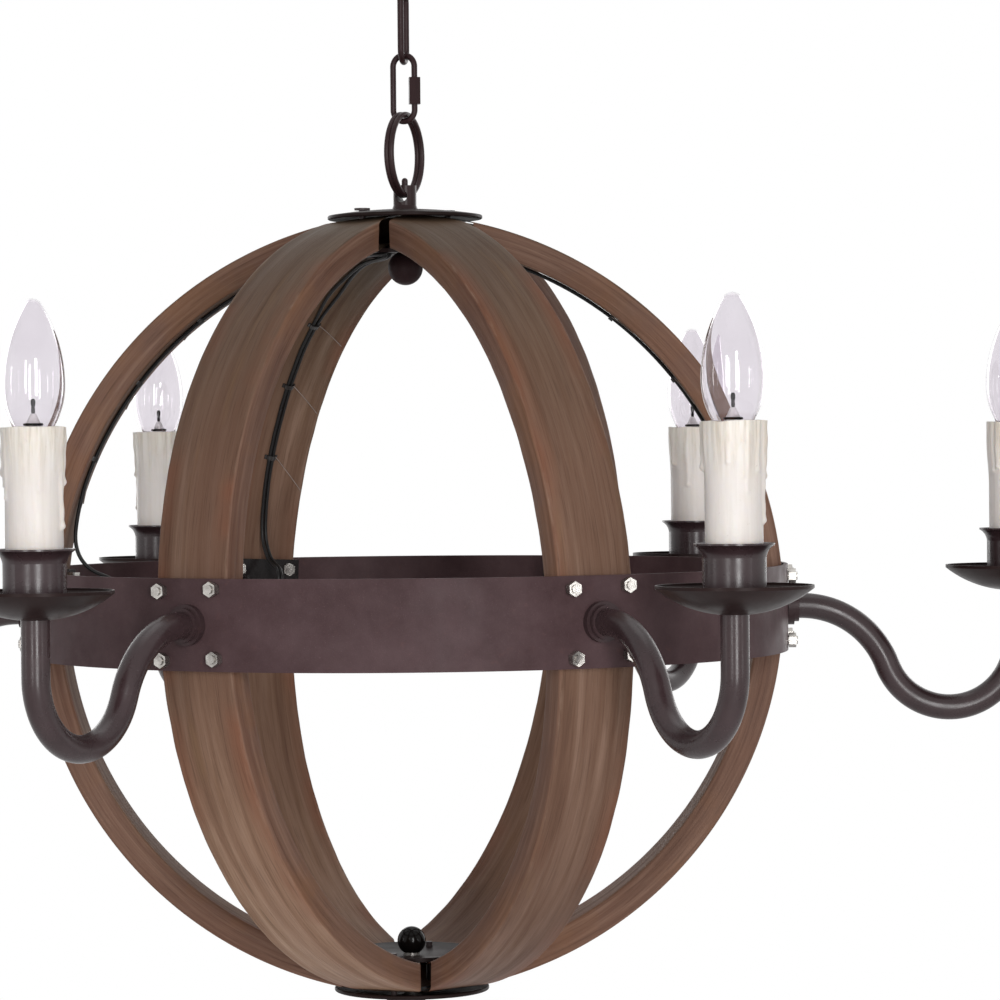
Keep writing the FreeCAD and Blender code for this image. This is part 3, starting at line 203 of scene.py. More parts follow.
def bronze(name, dark, light, roughness, gloss, peel=0.11):
    """Dark aubergine-brown satin paint over metal, a little uneven, with worn warm patches."""
    s = Shade(name)
    where = s.coords()
    colour = s.ramp(s.noise(where, 28, 4, 0.6), (0.32, dark), (0.68, light))
    rub = s.ramp(s.noise(where, 140, 6, 0.7), (0.60, 0.0), (0.74, 1.0))
    colour = s.touch(colour, tinted(light, 1.7, 1.25, 1.05), rub, 0.25)
    colour = s.touch(colour, tinted(light, 1.6), s.noise(where, 900, 3, 0.65), 0.22)
    dust = s.ramp(s.noise(where, 2300, 2, 0.5), (0.66, 0.0), (0.72, 1.0))
    colour = s.touch(colour, tinted(light, 3.0), dust, 0.30)
    rough = s.between(s.noise(where, 60, 4, 0.6), 0.3, 0.7, roughness - 0.06, roughness + 0.08)
    normal = s.bump(s.noise(where, 1300, 2, 0.5), peel, 0.0003)
    return s.finish(Base_Color=colour, Roughness=rough, Normal=normal, Specular_IOR_Level=gloss)


def wood(name, number, low_tone):
    """Weathered bent wood: grain along the rib, darker and olive at the top from painted shade,
    rubbed and stained in places.

    The grain attribute holds a point's place along, across and into the rib. Each rib's own
    stretch of it starts GRAIN_STEP further on, so that no two ribs are alike.
    """
    s = Shade(name)
    grain = s.coords(attribute="grain")
    split = s.add("ShaderNodeSeparateXYZ", Vector=grain).outputs
    height = s.math("SUBTRACT", split[0], number * GRAIN_STEP[0])
    off = s.math("ABSOLUTE", split[1])
    streak = s.noise(s.coords((5.5, 120, 120), "grain"), 1.0, 6, 0.66, 0.35)
    fine = s.noise(s.coords((26, 950, 950), "grain"), 1.0, 4, 0.62)
    broad = s.noise(s.coords((3.2, 24, 24), "grain"), 1.0, 4, 0.55, 0.4)
    blotch = s.noise(grain, 15 + number * 0.7, 6, 0.64)

    face = s.ramp(streak, (0.28, (0.110, 0.056, 0.036)), (0.44, (0.175, 0.098, 0.064)),
                  (0.58, (0.225, 0.135, 0.093)), (0.76, (0.310, 0.198, 0.145)))
    face = s.mix(s.between(broad, 0.36, 0.66, 0.0, 0.75), face, (0.140, 0.074, 0.049))

    # each rib lighter or darker towards the bottom by its own factor, and painted shade towards
    # the top, darker and olive
    low = s.between(height, -0.02, -0.26)
    high = s.between(height, 0.09, 0.30)
    face = s.mix(low, face, s.mix(1.0, face, low_tone, "MULTIPLY"))
    olive_top_shade = s.mix(1.0, face, (0.60, 0.66, 0.60), "MULTIPLY")
    olive_top_shade = s.touch(olive_top_shade, (0.110, 0.079, 0.054), s.between(blotch, 0.42, 0.62), 0.5)
    face = s.mix(high, face, olive_top_shade)

    # rust-brown stains towards the edges, amber lines, and edges paler in patches, partly wear and
    # partly painted highlight
    stain = s.ramp(s.noise(grain, 8 + number * 0.9, 3, 0.5), (0.46, 0.0), (0.60, 1.0))
    stain = s.math("MULTIPLY", stain, s.between(off, 0.012, 0.022))
    face = s.touch(face, (0.225, 0.083, 0.045), stain, 0.55)
    amber = s.noise(s.coords((9, 60, 60), "grain"), 1.0, 4, 0.6)
    face = s.touch(face, (0.235, 0.135, 0.065), s.ramp(amber, (0.58, 0.0), (0.72, 1.0)), 0.30)
    worn = s.noise(s.coords((30, 200, 200), "grain"), 1.0, 5, 0.7)
    worn = s.math("MULTIPLY", s.between(off, 0.0215, 0.0242),
                  s.ramp(worn, (0.50, 0.0), (0.66, 1.0)))
    face = s.touch(face, (0.330, 0.225, 0.165), worn, 0.55)

    # the thin sides, and the dark pores over everything
    side = s.ramp(s.noise(s.coords((7, 130, 260), "grain"), 1.0, 6, 0.68, 0.3),
                  (0.30, (0.110, 0.053, 0.036)), (0.5, (0.170, 0.090, 0.062)),
                  (0.74, (0.270, 0.160, 0.113)))
    orange = s.between(s.noise(grain, 12 + number, 4, 0.6), 0.52, 0.66, 0.0, 0.40)
    side = s.mix(orange, side, (0.235, 0.108, 0.048))
    colour = s.touch(face, side, s.between(off, 0.0240, 0.0248), 0.85)
    pore = s.ramp(fine, (0.34, 0.0), (0.47, 1.0))
    colour = s.mix(s.between(pore, 0, 1, 0.34, 0.0), colour, (0.050, 0.025, 0.017))

    rough = s.between(streak, 0.3, 0.7, 0.66, 0.50)
    normal = s.bump(streak, 0.28, 0.0013, Normal=s.bump(fine, 0.38, 0.0006))
    return s.finish(Base_Color=colour, Roughness=rough, Normal=normal, Specular_IOR_Level=0.16)


def wax(name, number):
    """Ivory candle wax, greyer and yellower near the top, with faint upright streaks."""
    s = Shade(name)
    where = s.coords()
    height = s.add("ShaderNodeSeparateXYZ", Vector=where).outputs[2]
    top = s.between(height, BAND_Z + 0.082, BAND_Z + 0.112)
    streak = s.noise(s.coords((260, 260, 16)), 1.0, 5, 0.62, 0.25)
    cloud = s.noise(where, 60 + number, 4, 0.6)
    colour = s.ramp(streak, (0.28, (0.86, 0.765, 0.70)), (0.5, (0.915, 0.825, 0.765)),
                    (0.70, (0.95, 0.865, 0.81)))
    runs = s.ramp(streak, (0.36, (0.60, 0.53, 0.43)), (0.48, (0.83, 0.755, 0.66)),
                  (0.62, (0.95, 0.88, 0.80)))
    colour = s.touch(colour, runs, top, 0.85)
    colour = s.mix(s.between(cloud, 0.40, 0.75, 0.0, 0.30), colour, (0.86, 0.775, 0.70))
    fleck = s.ramp(s.noise(where, 420, 3, 0.6), (0.70, 0.0), (0.76, 1.0))
    colour = s.touch(colour, (0.45, 0.36, 0.27), fleck, 0.28)
    rough = s.between(cloud, 0.3, 0.7, 0.34, 0.52)
    normal = s.bump(s.noise(where, 260, 4, 0.55), 0.3, 0.0008)
    return s.finish(Base_Color=colour, Roughness=rough, Normal=normal, Specular_IOR_Level=0.30,
                    Subsurface_Weight=0.20, Subsurface_Radius=(0.006, 0.004, 0.0025),
                    Subsurface_Scale=1.0)


def clear_glass():
    """Clear lamp glass with a faint, slightly uneven lilac-grey tint."""
    s = Shade("lamp_glass")
    tint = s.ramp(s.noise(s.coords(), 30, 2), (0.3, (0.845, 0.815, 0.850)),
                  (0.7, (0.880, 0.855, 0.885)))
    return s.finish(Base_Color=tint, Roughness=0.0, Transmission_Weight=1.0, IOR=1.45)


def plated(name, dark, light, roughness, metallic=1.0):
    """Bare plated metal, spotted and unevenly bright."""
    s = Shade(name)
    where = s.coords()
    colour = s.ramp(s.noise(where, 190, 3, 0.5), (0.3, dark), (0.7, light))
    rough = s.between(s.noise(where, 420, 2, 0.5), 0.3, 0.7, roughness * 0.8, roughness * 1.3)
    return s.finish(Base_Color=colour, Roughness=rough, Metallic=metallic)


def hard(name, colour, roughness, gloss=0.3):
    """A hard smooth finish of one hue with faint clouding."""
    s = Shade(name)
    where = s.coords()
    tone = s.ramp(s.noise(where, 90, 4, 0.6), (0.3, tinted(colour, 0.7)), (0.7, colour))
    rough = s.between(s.noise(where, 240, 3, 0.6), 0.3, 0.7, roughness * 0.8, roughness * 1.35)
    normal = s.bump(s.noise(where, 800, 2), 0.08, 0.0002)
    return s.finish(Base_Color=tone, Roughness=rough, Normal=normal, Specular_IOR_Level=gloss)


# how far one rib's grain lies from the next one's, along the rib and into it, in metres
GRAIN_STEP = (3.7, 0.9)
# what each rib's wood is multiplied by towards the bottom
LOW_TONES = ((0.92, 0.90, 0.92), (1.25, 1.22, 1.20), (1.25, 1.25, 1.25), (1.5, 1.6, 1.62),
             (1.3, 1.35, 1.35), (1.95, 2.05, 2.0))
COLLAR_DARK, COLLAR_LIGHT = (0.030, 0.0165, 0.0175), (0.052, 0.031, 0.033)
TUBE_DARK, TUBE_LIGHT = (0.025, 0.0135, 0.0145), (0.046, 0.027, 0.029)
# the finish of each material slot but the wood and the wax
FINISHES = {
    "bronze_band": bronze("band_bronze", (0.047, 0.0245, 0.026), (0.088, 0.053, 0.056),
                          0.46, 0.10),
    "bronze_tube": bronze("tube_bronze", TUBE_DARK, TUBE_LIGHT, 0.27, 0.36, 0.066),
    "bronze_dish": bronze("dish_bronze", (0.013, 0.0065, 0.006), (0.025, 0.0135, 0.013),
                          0.34, 0.08),
    "bronze_cup": bronze("cup_bronze", TUBE_DARK, (0.046, 0.027, 0.030), 0.27, 0.42),
    "bronze_collar": bronze("collar_bronze", COLLAR_DARK, COLLAR_LIGHT, 0.36, 0.16),
    # painted shade: the discs' colour is far darker than the other bronze
    "bronze_disc": bronze("disc_bronze_painted_shade", (0.010, 0.0055, 0.005), (0.020, 0.012, 0.011),
                          0.42, 0.07),
    "bronze_ball": bronze("ball_bronze", (0.023, 0.011, 0.0115), (0.038, 0.020, 0.021),
                          0.42, 0.10),
    "bronze_hanger": bronze("hanger_bronze", (0.022, 0.0105, 0.0105), (0.042, 0.023, 0.024),
                            0.34, 0.16),
    "bronze_chain": bronze("chain_bronze", (0.022, 0.010, 0.0105), (0.040, 0.021, 0.022),
                           0.32, 0.12),
    # the screws' paler mottling is partly worn paint and partly a painted highlight on their heads
    "dark_screw": bronze("screw_bronze_worn_glint", COLLAR_DARK, (0.10, 0.080, 0.078), 0.34, 0.20),
    "zinc_steel": plated("zinc_plate", (0.26, 0.24, 0.225), (0.52, 0.50, 0.47), 0.22, 0.9),
    "steel_rod": plated("rod_steel", (0.34, 0.32, 0.30), (0.55, 0.53, 0.50), 0.34),
    "bulb_cap": plated("lamp_cap_metal", (0.50, 0.46, 0.38), (0.70, 0.66, 0.58), 0.28),
    "black_plate": hard("plate_black", (0.020, 0.017, 0.017), 0.26, 0.16),
    "black_ball": hard("ball_black", (0.006, 0.0045, 0.004), 0.14, 0.12),
    "socket_body": hard("socket_black", (0.030, 0.028, 0.026), 0.34),
    "lead_sheath": hard("lead_black", (0.013, 0.012, 0.012), 0.34, 0.22),
    "clip_black": hard("clip_dark", (0.026, 0.022, 0.021), 0.20, 0.45),
    "clear_glass": clear_glass(),
}
WOODS = [wood(f"weathered_wood_{k + 1}", k, LOW_TONES[k]) for k in range(COUNT)]
WAXES = [wax(f"ivory_wax_{k + 1}", k) for k in range(COUNT)]
STEM = hard("stem_milk", (0.88, 0.85, 0.84), 0.3)
POST = hard("post_black", (0.012, 0.011, 0.011), 0.35)
NYLON = hard("clear_nylon", (0.36, 0.28, 0.24), 0.22)


# ---- the CAD nodes ----

SLOT_OF = {entry["node"]: entry["material_slot"] for entry in frame["record"]["subparts"]}


def smooth(obj, degrees):
    """Smooth shading over round faces, with the real edges left sharp."""
    obj.data.shade_smooth()
    obj.data.set_sharp_from_angle(angle=math.radians(degrees))


for node_name, obj in frame["nodes"].items():
    obj.data.materials.clear()
    obj.data.materials.append(FINISHES.get(SLOT_OF[node_name], WOODS[0]))
    smooth(obj, CAD_EDGE)


# ---- making pieces ----

def turned(angle):
    """A turn about Z by degrees."""
    return Matrix.Rotation(math.radians(angle), 4, "Z")


def place(angle, radius=0.0, z=0.0):
    """A frame at that radius and azimuth, in millimetres from the band's middle."""
    return (Matrix.Translation((0, 0, BAND_Z)) @ turned(angle)
            @ Matrix.Translation((radius * MM, 0, z * MM)))


def height_of(node):
    """How far a CAD node's lowest point lies above the band's middle, in millimetres."""
    return (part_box(node)[0].z - BAND_Z) / MM


def to_object(name, bm, material):
    """An object of the bmesh, which is in millimetres and is used up."""
    mesh = bpy.data.meshes.new(name)
    bmesh.ops.recalc_face_normals(bm, faces=bm.faces)
    bm.to_mesh(mesh)
    bm.free()
    mesh.transform(Matrix.Scale(MM, 4))
    mesh.materials.append(material)
    obj = bpy.data.objects.new(name, mesh)
    bpy.context.scene.collection.objects.link(obj)
    return obj


def add_piece(name, bm, material, body, matrix, edge=PIECE_EDGE):
    """A piece of the visual model, at its place in the row frame."""
    obj = to_object(name, bm, material)
    obj.data.transform(matrix)
    smooth(obj, edge)
    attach(obj, body)
    return obj


def join(whole, part):
    """Moves all of a bmesh into another one."""
    temp = bpy.data.meshes.new("part")
    part.to_mesh(temp)
    part.free()
    whole.from_mesh(temp)
    bpy.data.meshes.remove(temp)


def circle(bm, radius, height, count):
    """A ring of verts about Z."""
    return [bm.verts.new((radius * math.cos(math.tau * k / count),
                          radius * math.sin(math.tau * k / count), height))
            for k in range(count)]


def skin(bm, rings):
    """Faces from each ring of verts to the next; a ring of one vert is a point on the axis."""
    faces = []
    for a, b in zip(rings, rings[1:]):
        count = max(len(a), len(b))
        for k in range(count if count > 1 else 0):
            j = (k + 1) % count
            near = [a[k], a[j]] if len(a) > 1 else [a[0]]
            far = [b[j], b[k]] if len(b) > 1 else [b[0]]
            faces.append(bm.faces.new(near + far))
    return faces


def cap(bm, rings):
    """Faces that close the first and the last ring."""
    return [bm.faces.new(rings[0][::-1]), bm.faces.new(rings[-1])]


def lathe(profile, segments=72):
    """A bmesh turned about Z from a closed half outline of (radius, height) points."""
    bm = bmesh.new()
    rings = []
    for radius, height in profile:
        on_axis = radius < 1e-6
        rings.append([bm.verts.new((0, 0, height))] if on_axis
                     else circle(bm, radius, height, segments))
    skin(bm, rings + rings[:1])
    return bm


def arc(start, end, radius, count):
    """Points of an arc that turns left from start, without its end."""
    (x0, y0), (x1, y1) = start, end
    dx, dy = x1 - x0, y1 - y0
    chord = math.hypot(dx, dy)
    height = math.sqrt(max(radius * radius - chord * chord / 4, 0))
    cx, cy = (x0 + x1) / 2 - dy / chord * height, (y0 + y1) / 2 + dx / chord * height
    first = math.atan2(y0 - cy, x0 - cx)
    swing = (math.atan2(y1 - cy, x1 - cx) - first) % math.tau
    return [(cx + radius * math.cos(first + swing * k / count),
             cy + radius * math.sin(first + swing * k / count)) for k in range(count)]


def add_tube(bm, spots, radius, around, material_index=0):
    """A round closed tube through the points, whose sides lie along Y and across."""
    rings = []
    for k, spot in enumerate(spots):
        ahead = (spots[min(k + 1, len(spots) - 1)] - spots[max(k - 1, 0)]).normalized()
        side = (Vector((0, 1, 0)) - ahead * ahead.y).normalized()
        over = ahead.cross(side)
        rings.append([bm.verts.new(spot + side * radius * math.cos(math.tau * j / around)
                                   + over * radius * math.sin(math.tau * j / around))
                      for j in range(around)])
    for face in skin(bm, rings) + cap(bm, rings):
        face.material_index = material_index


# ---- ribs ----

EDGE_ROUNDING, EDGE_STEPS = 1.6, 3
RIB_STATIONS = 84
# how far a half rib is drawn past its pole before the mitre cuts it, in radians
PAST_POLE = 0.02
# the sideways sway of the whole rib, and the small dents of its edges
SWAY, DENT, DENT_REACH = 0.55, 0.28, 2


def rib_section():
    """The rib's outline with rounded edges: (depth from the inner face, place across)."""
    deep, wide = RIB_THICK - EDGE_ROUNDING, RIB_WIDTH / 2 - EDGE_ROUNDING
    corners = ((deep, wide, 0), (EDGE_ROUNDING, wide, 90),
               (EDGE_ROUNDING, -wide, 180), (deep, -wide, 270))
    section = []
    for depth, across, start in corners:
        for k in range(EDGE_STEPS + 1):
            turn = math.radians(start + 90 * k / EDGE_STEPS)
            section.append((depth + EDGE_ROUNDING * math.cos(turn),
                            across + EDGE_ROUNDING * math.sin(turn)))
    return section


def rib_half(index, side):
    """The rib's half that goes up (side 1) or down (side -1) from the band, past its pole."""
    half = RIB_WIDTH / 2
    tip = math.acos(-BEND_X / BEND_OUTER) + PAST_POLE
    lean = Matrix.Rotation(math.radians(LEAN), 4, "X")
    section = rib_section()
    bm = bmesh.new()
    layer = bm.verts.layers.float_vector.new("grain")
    rings = []
    for k in range(RIB_STATIONS + 1):
        turn = side * tip * k / RIB_STATIONS
        along = BEND_OUTER * turn
        sway = noise.noise(Vector((along * 0.011, index * 7.3, 0))) * SWAY
        ring = []
        for depth, across in section:
            radius = BEND_INNER + depth
            dent = 0.0
            if abs(across) > half - DENT_REACH:
                dent = DENT * noise.noise(
                    Vector((along * 0.07, across * 0.05, index * 5.1 + depth * 0.03)))
            spot = Vector((BEND_X + radius * math.cos(turn),
                           across * (1 - dent / half) + sway,
                           RISE + radius * math.sin(turn)))
            vert = bm.verts.new(lean @ spot)
            vert[layer] = (along * MM + index * GRAIN_STEP[0], across * MM,
                           depth * MM + index * GRAIN_STEP[1])
            ring.append(vert)
        rings.append(ring)
    skin(bm, rings)
    return bm


def cut_mitre(bm, side):
    """Cuts a rib's half to its point at the pole and closes the two cuts."""
    middle = math.radians(-side * MITRE_TURN)
    start = MITRE_GAP / (2 * math.sin(math.radians(MITRE_HALF)))
    apex = Vector((start * math.cos(middle), start * math.sin(middle), 0))
    for edge in (1, -1):
        turn = middle + edge * math.radians(MITRE_HALF)
        normal = Vector((-math.sin(turn), math.cos(turn), 0)) * edge
        cut = bmesh.ops.bisect_plane(
            bm, geom=bm.verts[:] + bm.edges[:] + bm.faces[:], dist=1e-4,
            plane_co=apex, plane_no=normal, clear_outer=True)["geom_cut"]
        loop = [part for part in cut if isinstance(part, bmesh.types.BMEdge) and part.is_valid]
        bmesh.ops.edgeloop_fill(bm, edges=loop)


def make_rib(index, angle):
    """A bent rib with softened, slightly uneven edges, mitred at both poles."""
    name = f"rib_{index + 1}"
    whole = bmesh.new()
    whole.verts.layers.float_vector.new("grain")
    for side in (1, -1):
        half = rib_half(index, side)
        cut_mitre(half, side)
        join(whole, half)
    bmesh.ops.remove_doubles(whole, verts=whole.verts[:], dist=1e-3)
    obj = add_piece(f"{name}_wood", whole, WOODS[index], "globe",
                    place(angle), RIB_EDGE)
    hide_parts(name)


# ---- candle sleeves ----

SLEEVE_AROUND, SLEEVE_UP = 120, 110
# the coat of wax: how far it comes down, how uneven that is, over what height it thins out,
# and its thickness and ripple
COAT_DOWN, COAT_WAVE, COAT_FADE, COAT_THICK, COAT_RIPPLE = 36, 15, 30, 1.15, 0.75
# the main runs of wax: the turn from the longest one, the length, half width and thickness
MAIN_RUNS = ((0, 57, 1.9, 2.3), (13, 33, 2.0, 2.2), (190, 28, 2.3, 2.4))
SMALL_RUNS, SLEEVE_SEED = 11, 40
# how deep the melted rim dips, and how steeply the rows below follow it
RIM_DIP, RIM_POWER = 1.5, 12
# the rounding of the rim, as (how far inwards, how far up), and the heights of the bore's rows
RIM_ROUNDING = ((0.45, 0.12), (1.1, 0.18))
BORE_ROWS = (SLEEVE_HEIGHT - 1.6, SLEEVE_HEIGHT - 8, 0.0)


def run_thickness(turn, height, run, index):
    """How thick one run of wax is at a point of the sleeve, swelling to a drop at its end."""
    azimuth, length, wide, thick = run
    down = SLEEVE_HEIGHT - height
    gap = (turn - azimuth + math.pi) % math.tau - math.pi
    bend = 0.9 * noise.noise(Vector((height * 0.05, azimuth, index)))
    off = (gap * SLEEVE_RADIUS - bend) / wide
    if abs(off) > 3 or down > length + 4:
        return 0.0
    past = down - length + wide
    drop = math.exp(-(past / (wide * 1.1)) ** 2)
    body = 1.0 if past < 0 else max(0.0, 1 - (past / (wide * 1.25)) ** 2)
    swell = 0.62 + 0.38 * drop + 0.08 * math.cos(down * 0.5 + azimuth)
    return thick * swell * math.sqrt(body) * math.exp(-(off ** 2))


def sleeve_radius(turn, height, runs, index):
    """The sleeve's outside: a coat of wax that thickens towards the rim, and the runs in it."""
    x, y = math.cos(turn), math.sin(turn)
    uneven = noise.noise(Vector((x * 1.3, y * 1.3, height * 0.03 + index)))
    hem = COAT_DOWN + COAT_WAVE * noise.noise(Vector((x * 1.1, y * 1.1, index * 2.3)))
    coat = min(max((hem - (SLEEVE_HEIGHT - height)) / COAT_FADE, 0.0), 1.0)
    coat = coat * coat * (3 - 2 * coat)
    ripple = noise.noise(Vector((x * 5.5, y * 5.5, height * 0.012 + index * 1.7)))
    radius = SLEEVE_RADIUS - 0.12 + 0.10 * uneven + coat * (COAT_THICK + COAT_RIPPLE * ripple)
    return radius + max(run_thickness(turn, height, run, index) for run in runs)


def make_sleeve(index, angle):
    """A wax sleeve with runs down its side and an uneven melted rim."""
    name = f"candle_sleeve_{index + 1}"
    draw = random.Random(SLEEVE_SEED + index)
    runs = [(math.radians(SLEEVE_RUNS[index] + turn - angle), *shape)
            for turn, *shape in MAIN_RUNS]
    for _ in range(SMALL_RUNS):
        runs.append((draw.uniform(0, math.tau), draw.uniform(8, 44), draw.uniform(0.9, 1.9),
                     draw.uniform(0.6, 1.5)))
    bm = bmesh.new()
    inner = SLEEVE_RADIUS - SLEEVE_WALL
    turns = [math.tau * k / SLEEVE_AROUND for k in range(SLEEVE_AROUND)]
    rings = []
    for row in range(SLEEVE_UP + 1):
        share = row / SLEEVE_UP
        ring = []
        for turn in turns:
            wave = Vector((math.cos(turn) * 1.6, math.sin(turn) * 1.6, index * 3.3))
            dip = RIM_DIP * (0.5 + 0.5 * noise.noise(wave))
            height = share * (SLEEVE_HEIGHT - dip * share ** RIM_POWER)
            radius = sleeve_radius(turn, height, runs, index)
            ring.append(bm.verts.new((radius * math.cos(turn), radius * math.sin(turn), height)))
        rings.append(ring)
    rim = rings[-1]
    for inset, up in RIM_ROUNDING:
        ring = []
        for turn, vert in zip(turns, rim):
            radius = max(math.hypot(vert.co.x, vert.co.y) - inset, inner + 0.1)
            ring.append(bm.verts.new((radius * math.cos(turn), radius * math.sin(turn),
                                      vert.co.z + up)))
        rings.append(ring)
    for height in BORE_ROWS:
        rings.append(circle(bm, inner, height, SLEEVE_AROUND))
    skin(bm, rings + rings[:1])
    obj = add_piece(f"{name}_wax", bm, WAXES[index], "globe",
                    place(angle, CANDLE_CIRCLE, height_of(name)), ROUND_EDGE)
    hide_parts(name)


# ---- bulbs ----

THREAD_TURNS, THREAD_PITCH, THREAD_START, THREAD_ROOT, THREAD_CREST = 5, 3.2, -20.5, 6.3, 6.95
STEM_OUTLINE = ((0.0, 2.0), (5.8, 2.0), (5.4, 5.6), (4.5, 7.6), (3.4, 9.4), (2.4, 11.6),
                (1.6, 13.3), (0.0, 13.5))
POST_OUTLINE = ((0.0, 13.4), (0.9, 13.4), (1.15, 15.0), (0.95, 17.0), (1.3, 18.4), (1.35, 20.2),
                (0.8, 21.4), (0.0, 21.5))
POST_RING = ((4.4, 7.0), (5.4, 6.8), (5.6, 7.5), (5.2, 8.1), (4.3, 8.0))


def glass_outline(rim, widest, neck, nose, radii):
    """One wall of the glass, from its rim over its widest point and its neck to the nose."""
    body, taper, tip = radii
    return (arc(rim, widest, body, 16) + arc(widest, neck, taper, 26) + arc(neck, nose, tip, 8)
            + [nose, (0.0, nose[1] + 0.06)])


def cap_outline():
    """The screw cap's half outline, closed across its top."""
    outline = [(0.0, -23.9), (3.0, -23.9), (4.4, -22.6), (6.3, -21.4)]
    for turn in range(THREAD_TURNS):
        z = THREAD_START + turn * THREAD_PITCH
        outline += [(THREAD_ROOT, z), (THREAD_CREST, z + 0.8), (THREAD_CREST, z + 1.5),
                    (THREAD_ROOT, z + 2.3)]
    return outline + [(6.7, -3.0), (6.9, 0.1), (8.9, 0.1), (9.0, 0.4), (9.0, 1.7), (8.7, 2.0),
                      (0.0, 2.0)]


def make_bulb(index, angle):
    """A clear candle bulb: glass, screw cap, milky stem, and dark post with a ring on the stem."""
    number = index + 1
    body = f"bulb_{number}"
    where = place(angle, CANDLE_CIRCLE, height_of(f"bulb_glass_{number}") - CAP_HEIGHT)
    outer = glass_outline((9.0, 2.0), (17.7, 29.0), (5.28, 73.5), (0.8, 76.44), (46, 86, 6.17))
    inner = glass_outline((8.2, 2.0), (16.9, 29.0), (4.6, 73.1), (0.8, 75.64),
                          (45.2, 85.2, 5.37))
    glass = add_piece(f"bulb_glass_{number}_clear", lathe(outer + inner[::-1], 144),
                      FINISHES["clear_glass"], body, where, ROUND_EDGE)
    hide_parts(f"bulb_glass_{number}")
    base = add_piece(f"bulb_cap_{number}", lathe(cap_outline(), 56), FINISHES["bulb_cap"], body,
                     where)
    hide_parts(f"bulb_base_{number}")
    add_piece(f"bulb_stem_{number}", lathe(STEM_OUTLINE, 40), STEM, body, where)
    post = lathe(POST_OUTLINE, 28)
    join(post, lathe(POST_RING, 40))
    add_piece(f"bulb_post_{number}", post, POST, body, where)


# ---- lamp leads and their clips ----

CORE_RADIUS, CORE_AROUND = 1.13, 10
# how far each core lies from the lead's middle, and how far it strays where the lead hangs loose
CORE_OFFSET, LOOSE, LOOSE_AT, LOOSE_REACH = 1.22, 2.3, 61, 5.5
WANDER, SPREAD, FREE_AFTER = 0.9, 0.35, 7
# the part of the route that lies on the rib: nearer the axis than this, between these heights
RIB_NEAR, RIB_LOW, RIB_HIGH = 215, 20, 221.5
# a clip's outline, as (depth from the rib's face, place across), and its rounded ends
SADDLE = ((0.0, -4.6), (-0.75, -4.5), (-0.9, -3.4), (-1.9, -3.1), (-3.0, -2.5), (-3.3, -1.2),
          (-3.35, 0.0), (-3.3, 1.2), (-3.0, 2.5), (-1.9, 3.1), (-0.9, 3.4), (-0.75, 4.5),
          (0.0, 4.6), (0.0, 2.75), (-1.6, 2.7), (-2.45, 2.2), (-2.6, 0.0), (-2.45, -2.2),
          (-1.6, -2.7), (0.0, -2.75))
SADDLE_HALF, SADDLE_ROWS = 1.5, ((-1.5, 0.12), (-1.3, 0.0), (1.3, 0.0), (1.5, 0.12))
# the clear tail of a clip's tie: its radius, sides and steps, and where it starts and ends across
TAIL_RADIUS, TAIL_AROUND, TAIL_STEPS, TAIL_START, TAIL_REACH = 0.34, 8, 8, -3.6, 20.0
# how many degrees of the rib's bend the tail of the lowest clip falls, and how much less or more
# the next clips' tails reach and fall, so that no two ribs' tails are alike
TAIL_FALL, LESS_REACH, LESS_FALL, MORE_FALL = 5.6, 1.5, 1.3, 0.7


def lead_line():
    """The lead's smooth middle line, as points in millimetres in the arm's plane."""
    curve = bpy.data.curves.new("lead_line", "CURVE")
    curve.dimensions = "3D"
    curve.resolution_u = 10
    spline = curve.splines.new("NURBS")
    spline.points.add(len(LEAD_ROUTE) - 1)
    for point, (out, up) in zip(spline.points, LEAD_ROUTE):
        point.co = (out, 0, up, 1)
    spline.order_u = 3
    spline.use_endpoint_u = True
    holder = bpy.data.objects.new("lead_line", curve)
    line = bpy.data.meshes.new_from_object(holder)
    points = [vert.co.copy() for vert in line.vertices]
    bpy.data.objects.remove(holder)
    bpy.data.curves.remove(curve)
    bpy.data.meshes.remove(line)
    if points[0].x < points[-1].x:
        points.reverse()
    return points


def strand_offset(spot, side, index):
    """How far a core of the lead lies to one side: together in the arm, looser near the top."""
    if not (spot.x < RIB_NEAR and RIB_LOW < spot.z < RIB_HIGH):
        return side * CORE_OFFSET
    up = math.degrees(math.atan2(spot.z - RISE, spot.x - BEND_X))
    free = min(min(abs(up - clip) for clip in CLIP_ANGLES) / FREE_AFTER, 1)
    loose = LOOSE * math.exp(-((up - LOOSE_AT) / LOOSE_REACH) ** 2)
    wander = WANDER * noise.noise(Vector((up * 0.11, index * 3.1, 0.4)))
    spread = SPREAD * abs(noise.noise(Vector((up * 0.16, index * 5.7, 2.2))))
    return free * (wander + side * spread) + side * (CORE_OFFSET + loose)


def make_leads(line):
    """Each lead as its two round glossy cores, side by side from the socket to the top disc."""
    whole = bmesh.new()
    for index, angle in enumerate(ANGLES):
        for side in (-1, 1):
            bm = bmesh.new()
            spots = [Vector((spot.x, strand_offset(spot, side, index), spot.z)) for spot in line]
            add_tube(bm, spots, CORE_RADIUS, CORE_AROUND)
            bmesh.ops.transform(bm, matrix=turned(angle), verts=bm.verts)
            join(whole, bm)
    obj = add_piece("lamp_leads_cores", whole, FINISHES["lead_sheath"], "globe",
                    place(0), ROUND_EDGE)
    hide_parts("lamp_leads")


def saddle():
    """A slim rounded bridge over a lead, standing on the plane x = 0 and reaching inwards."""
    bm = bmesh.new()
    rings = [[bm.verts.new((depth * (1 - 0.03 * shrink), across * (1 - 0.02 * shrink), height))
              for depth, across in SADDLE] for height, shrink in SADDLE_ROWS]
    skin(bm, rings)
    cap(bm, rings)
    return bm


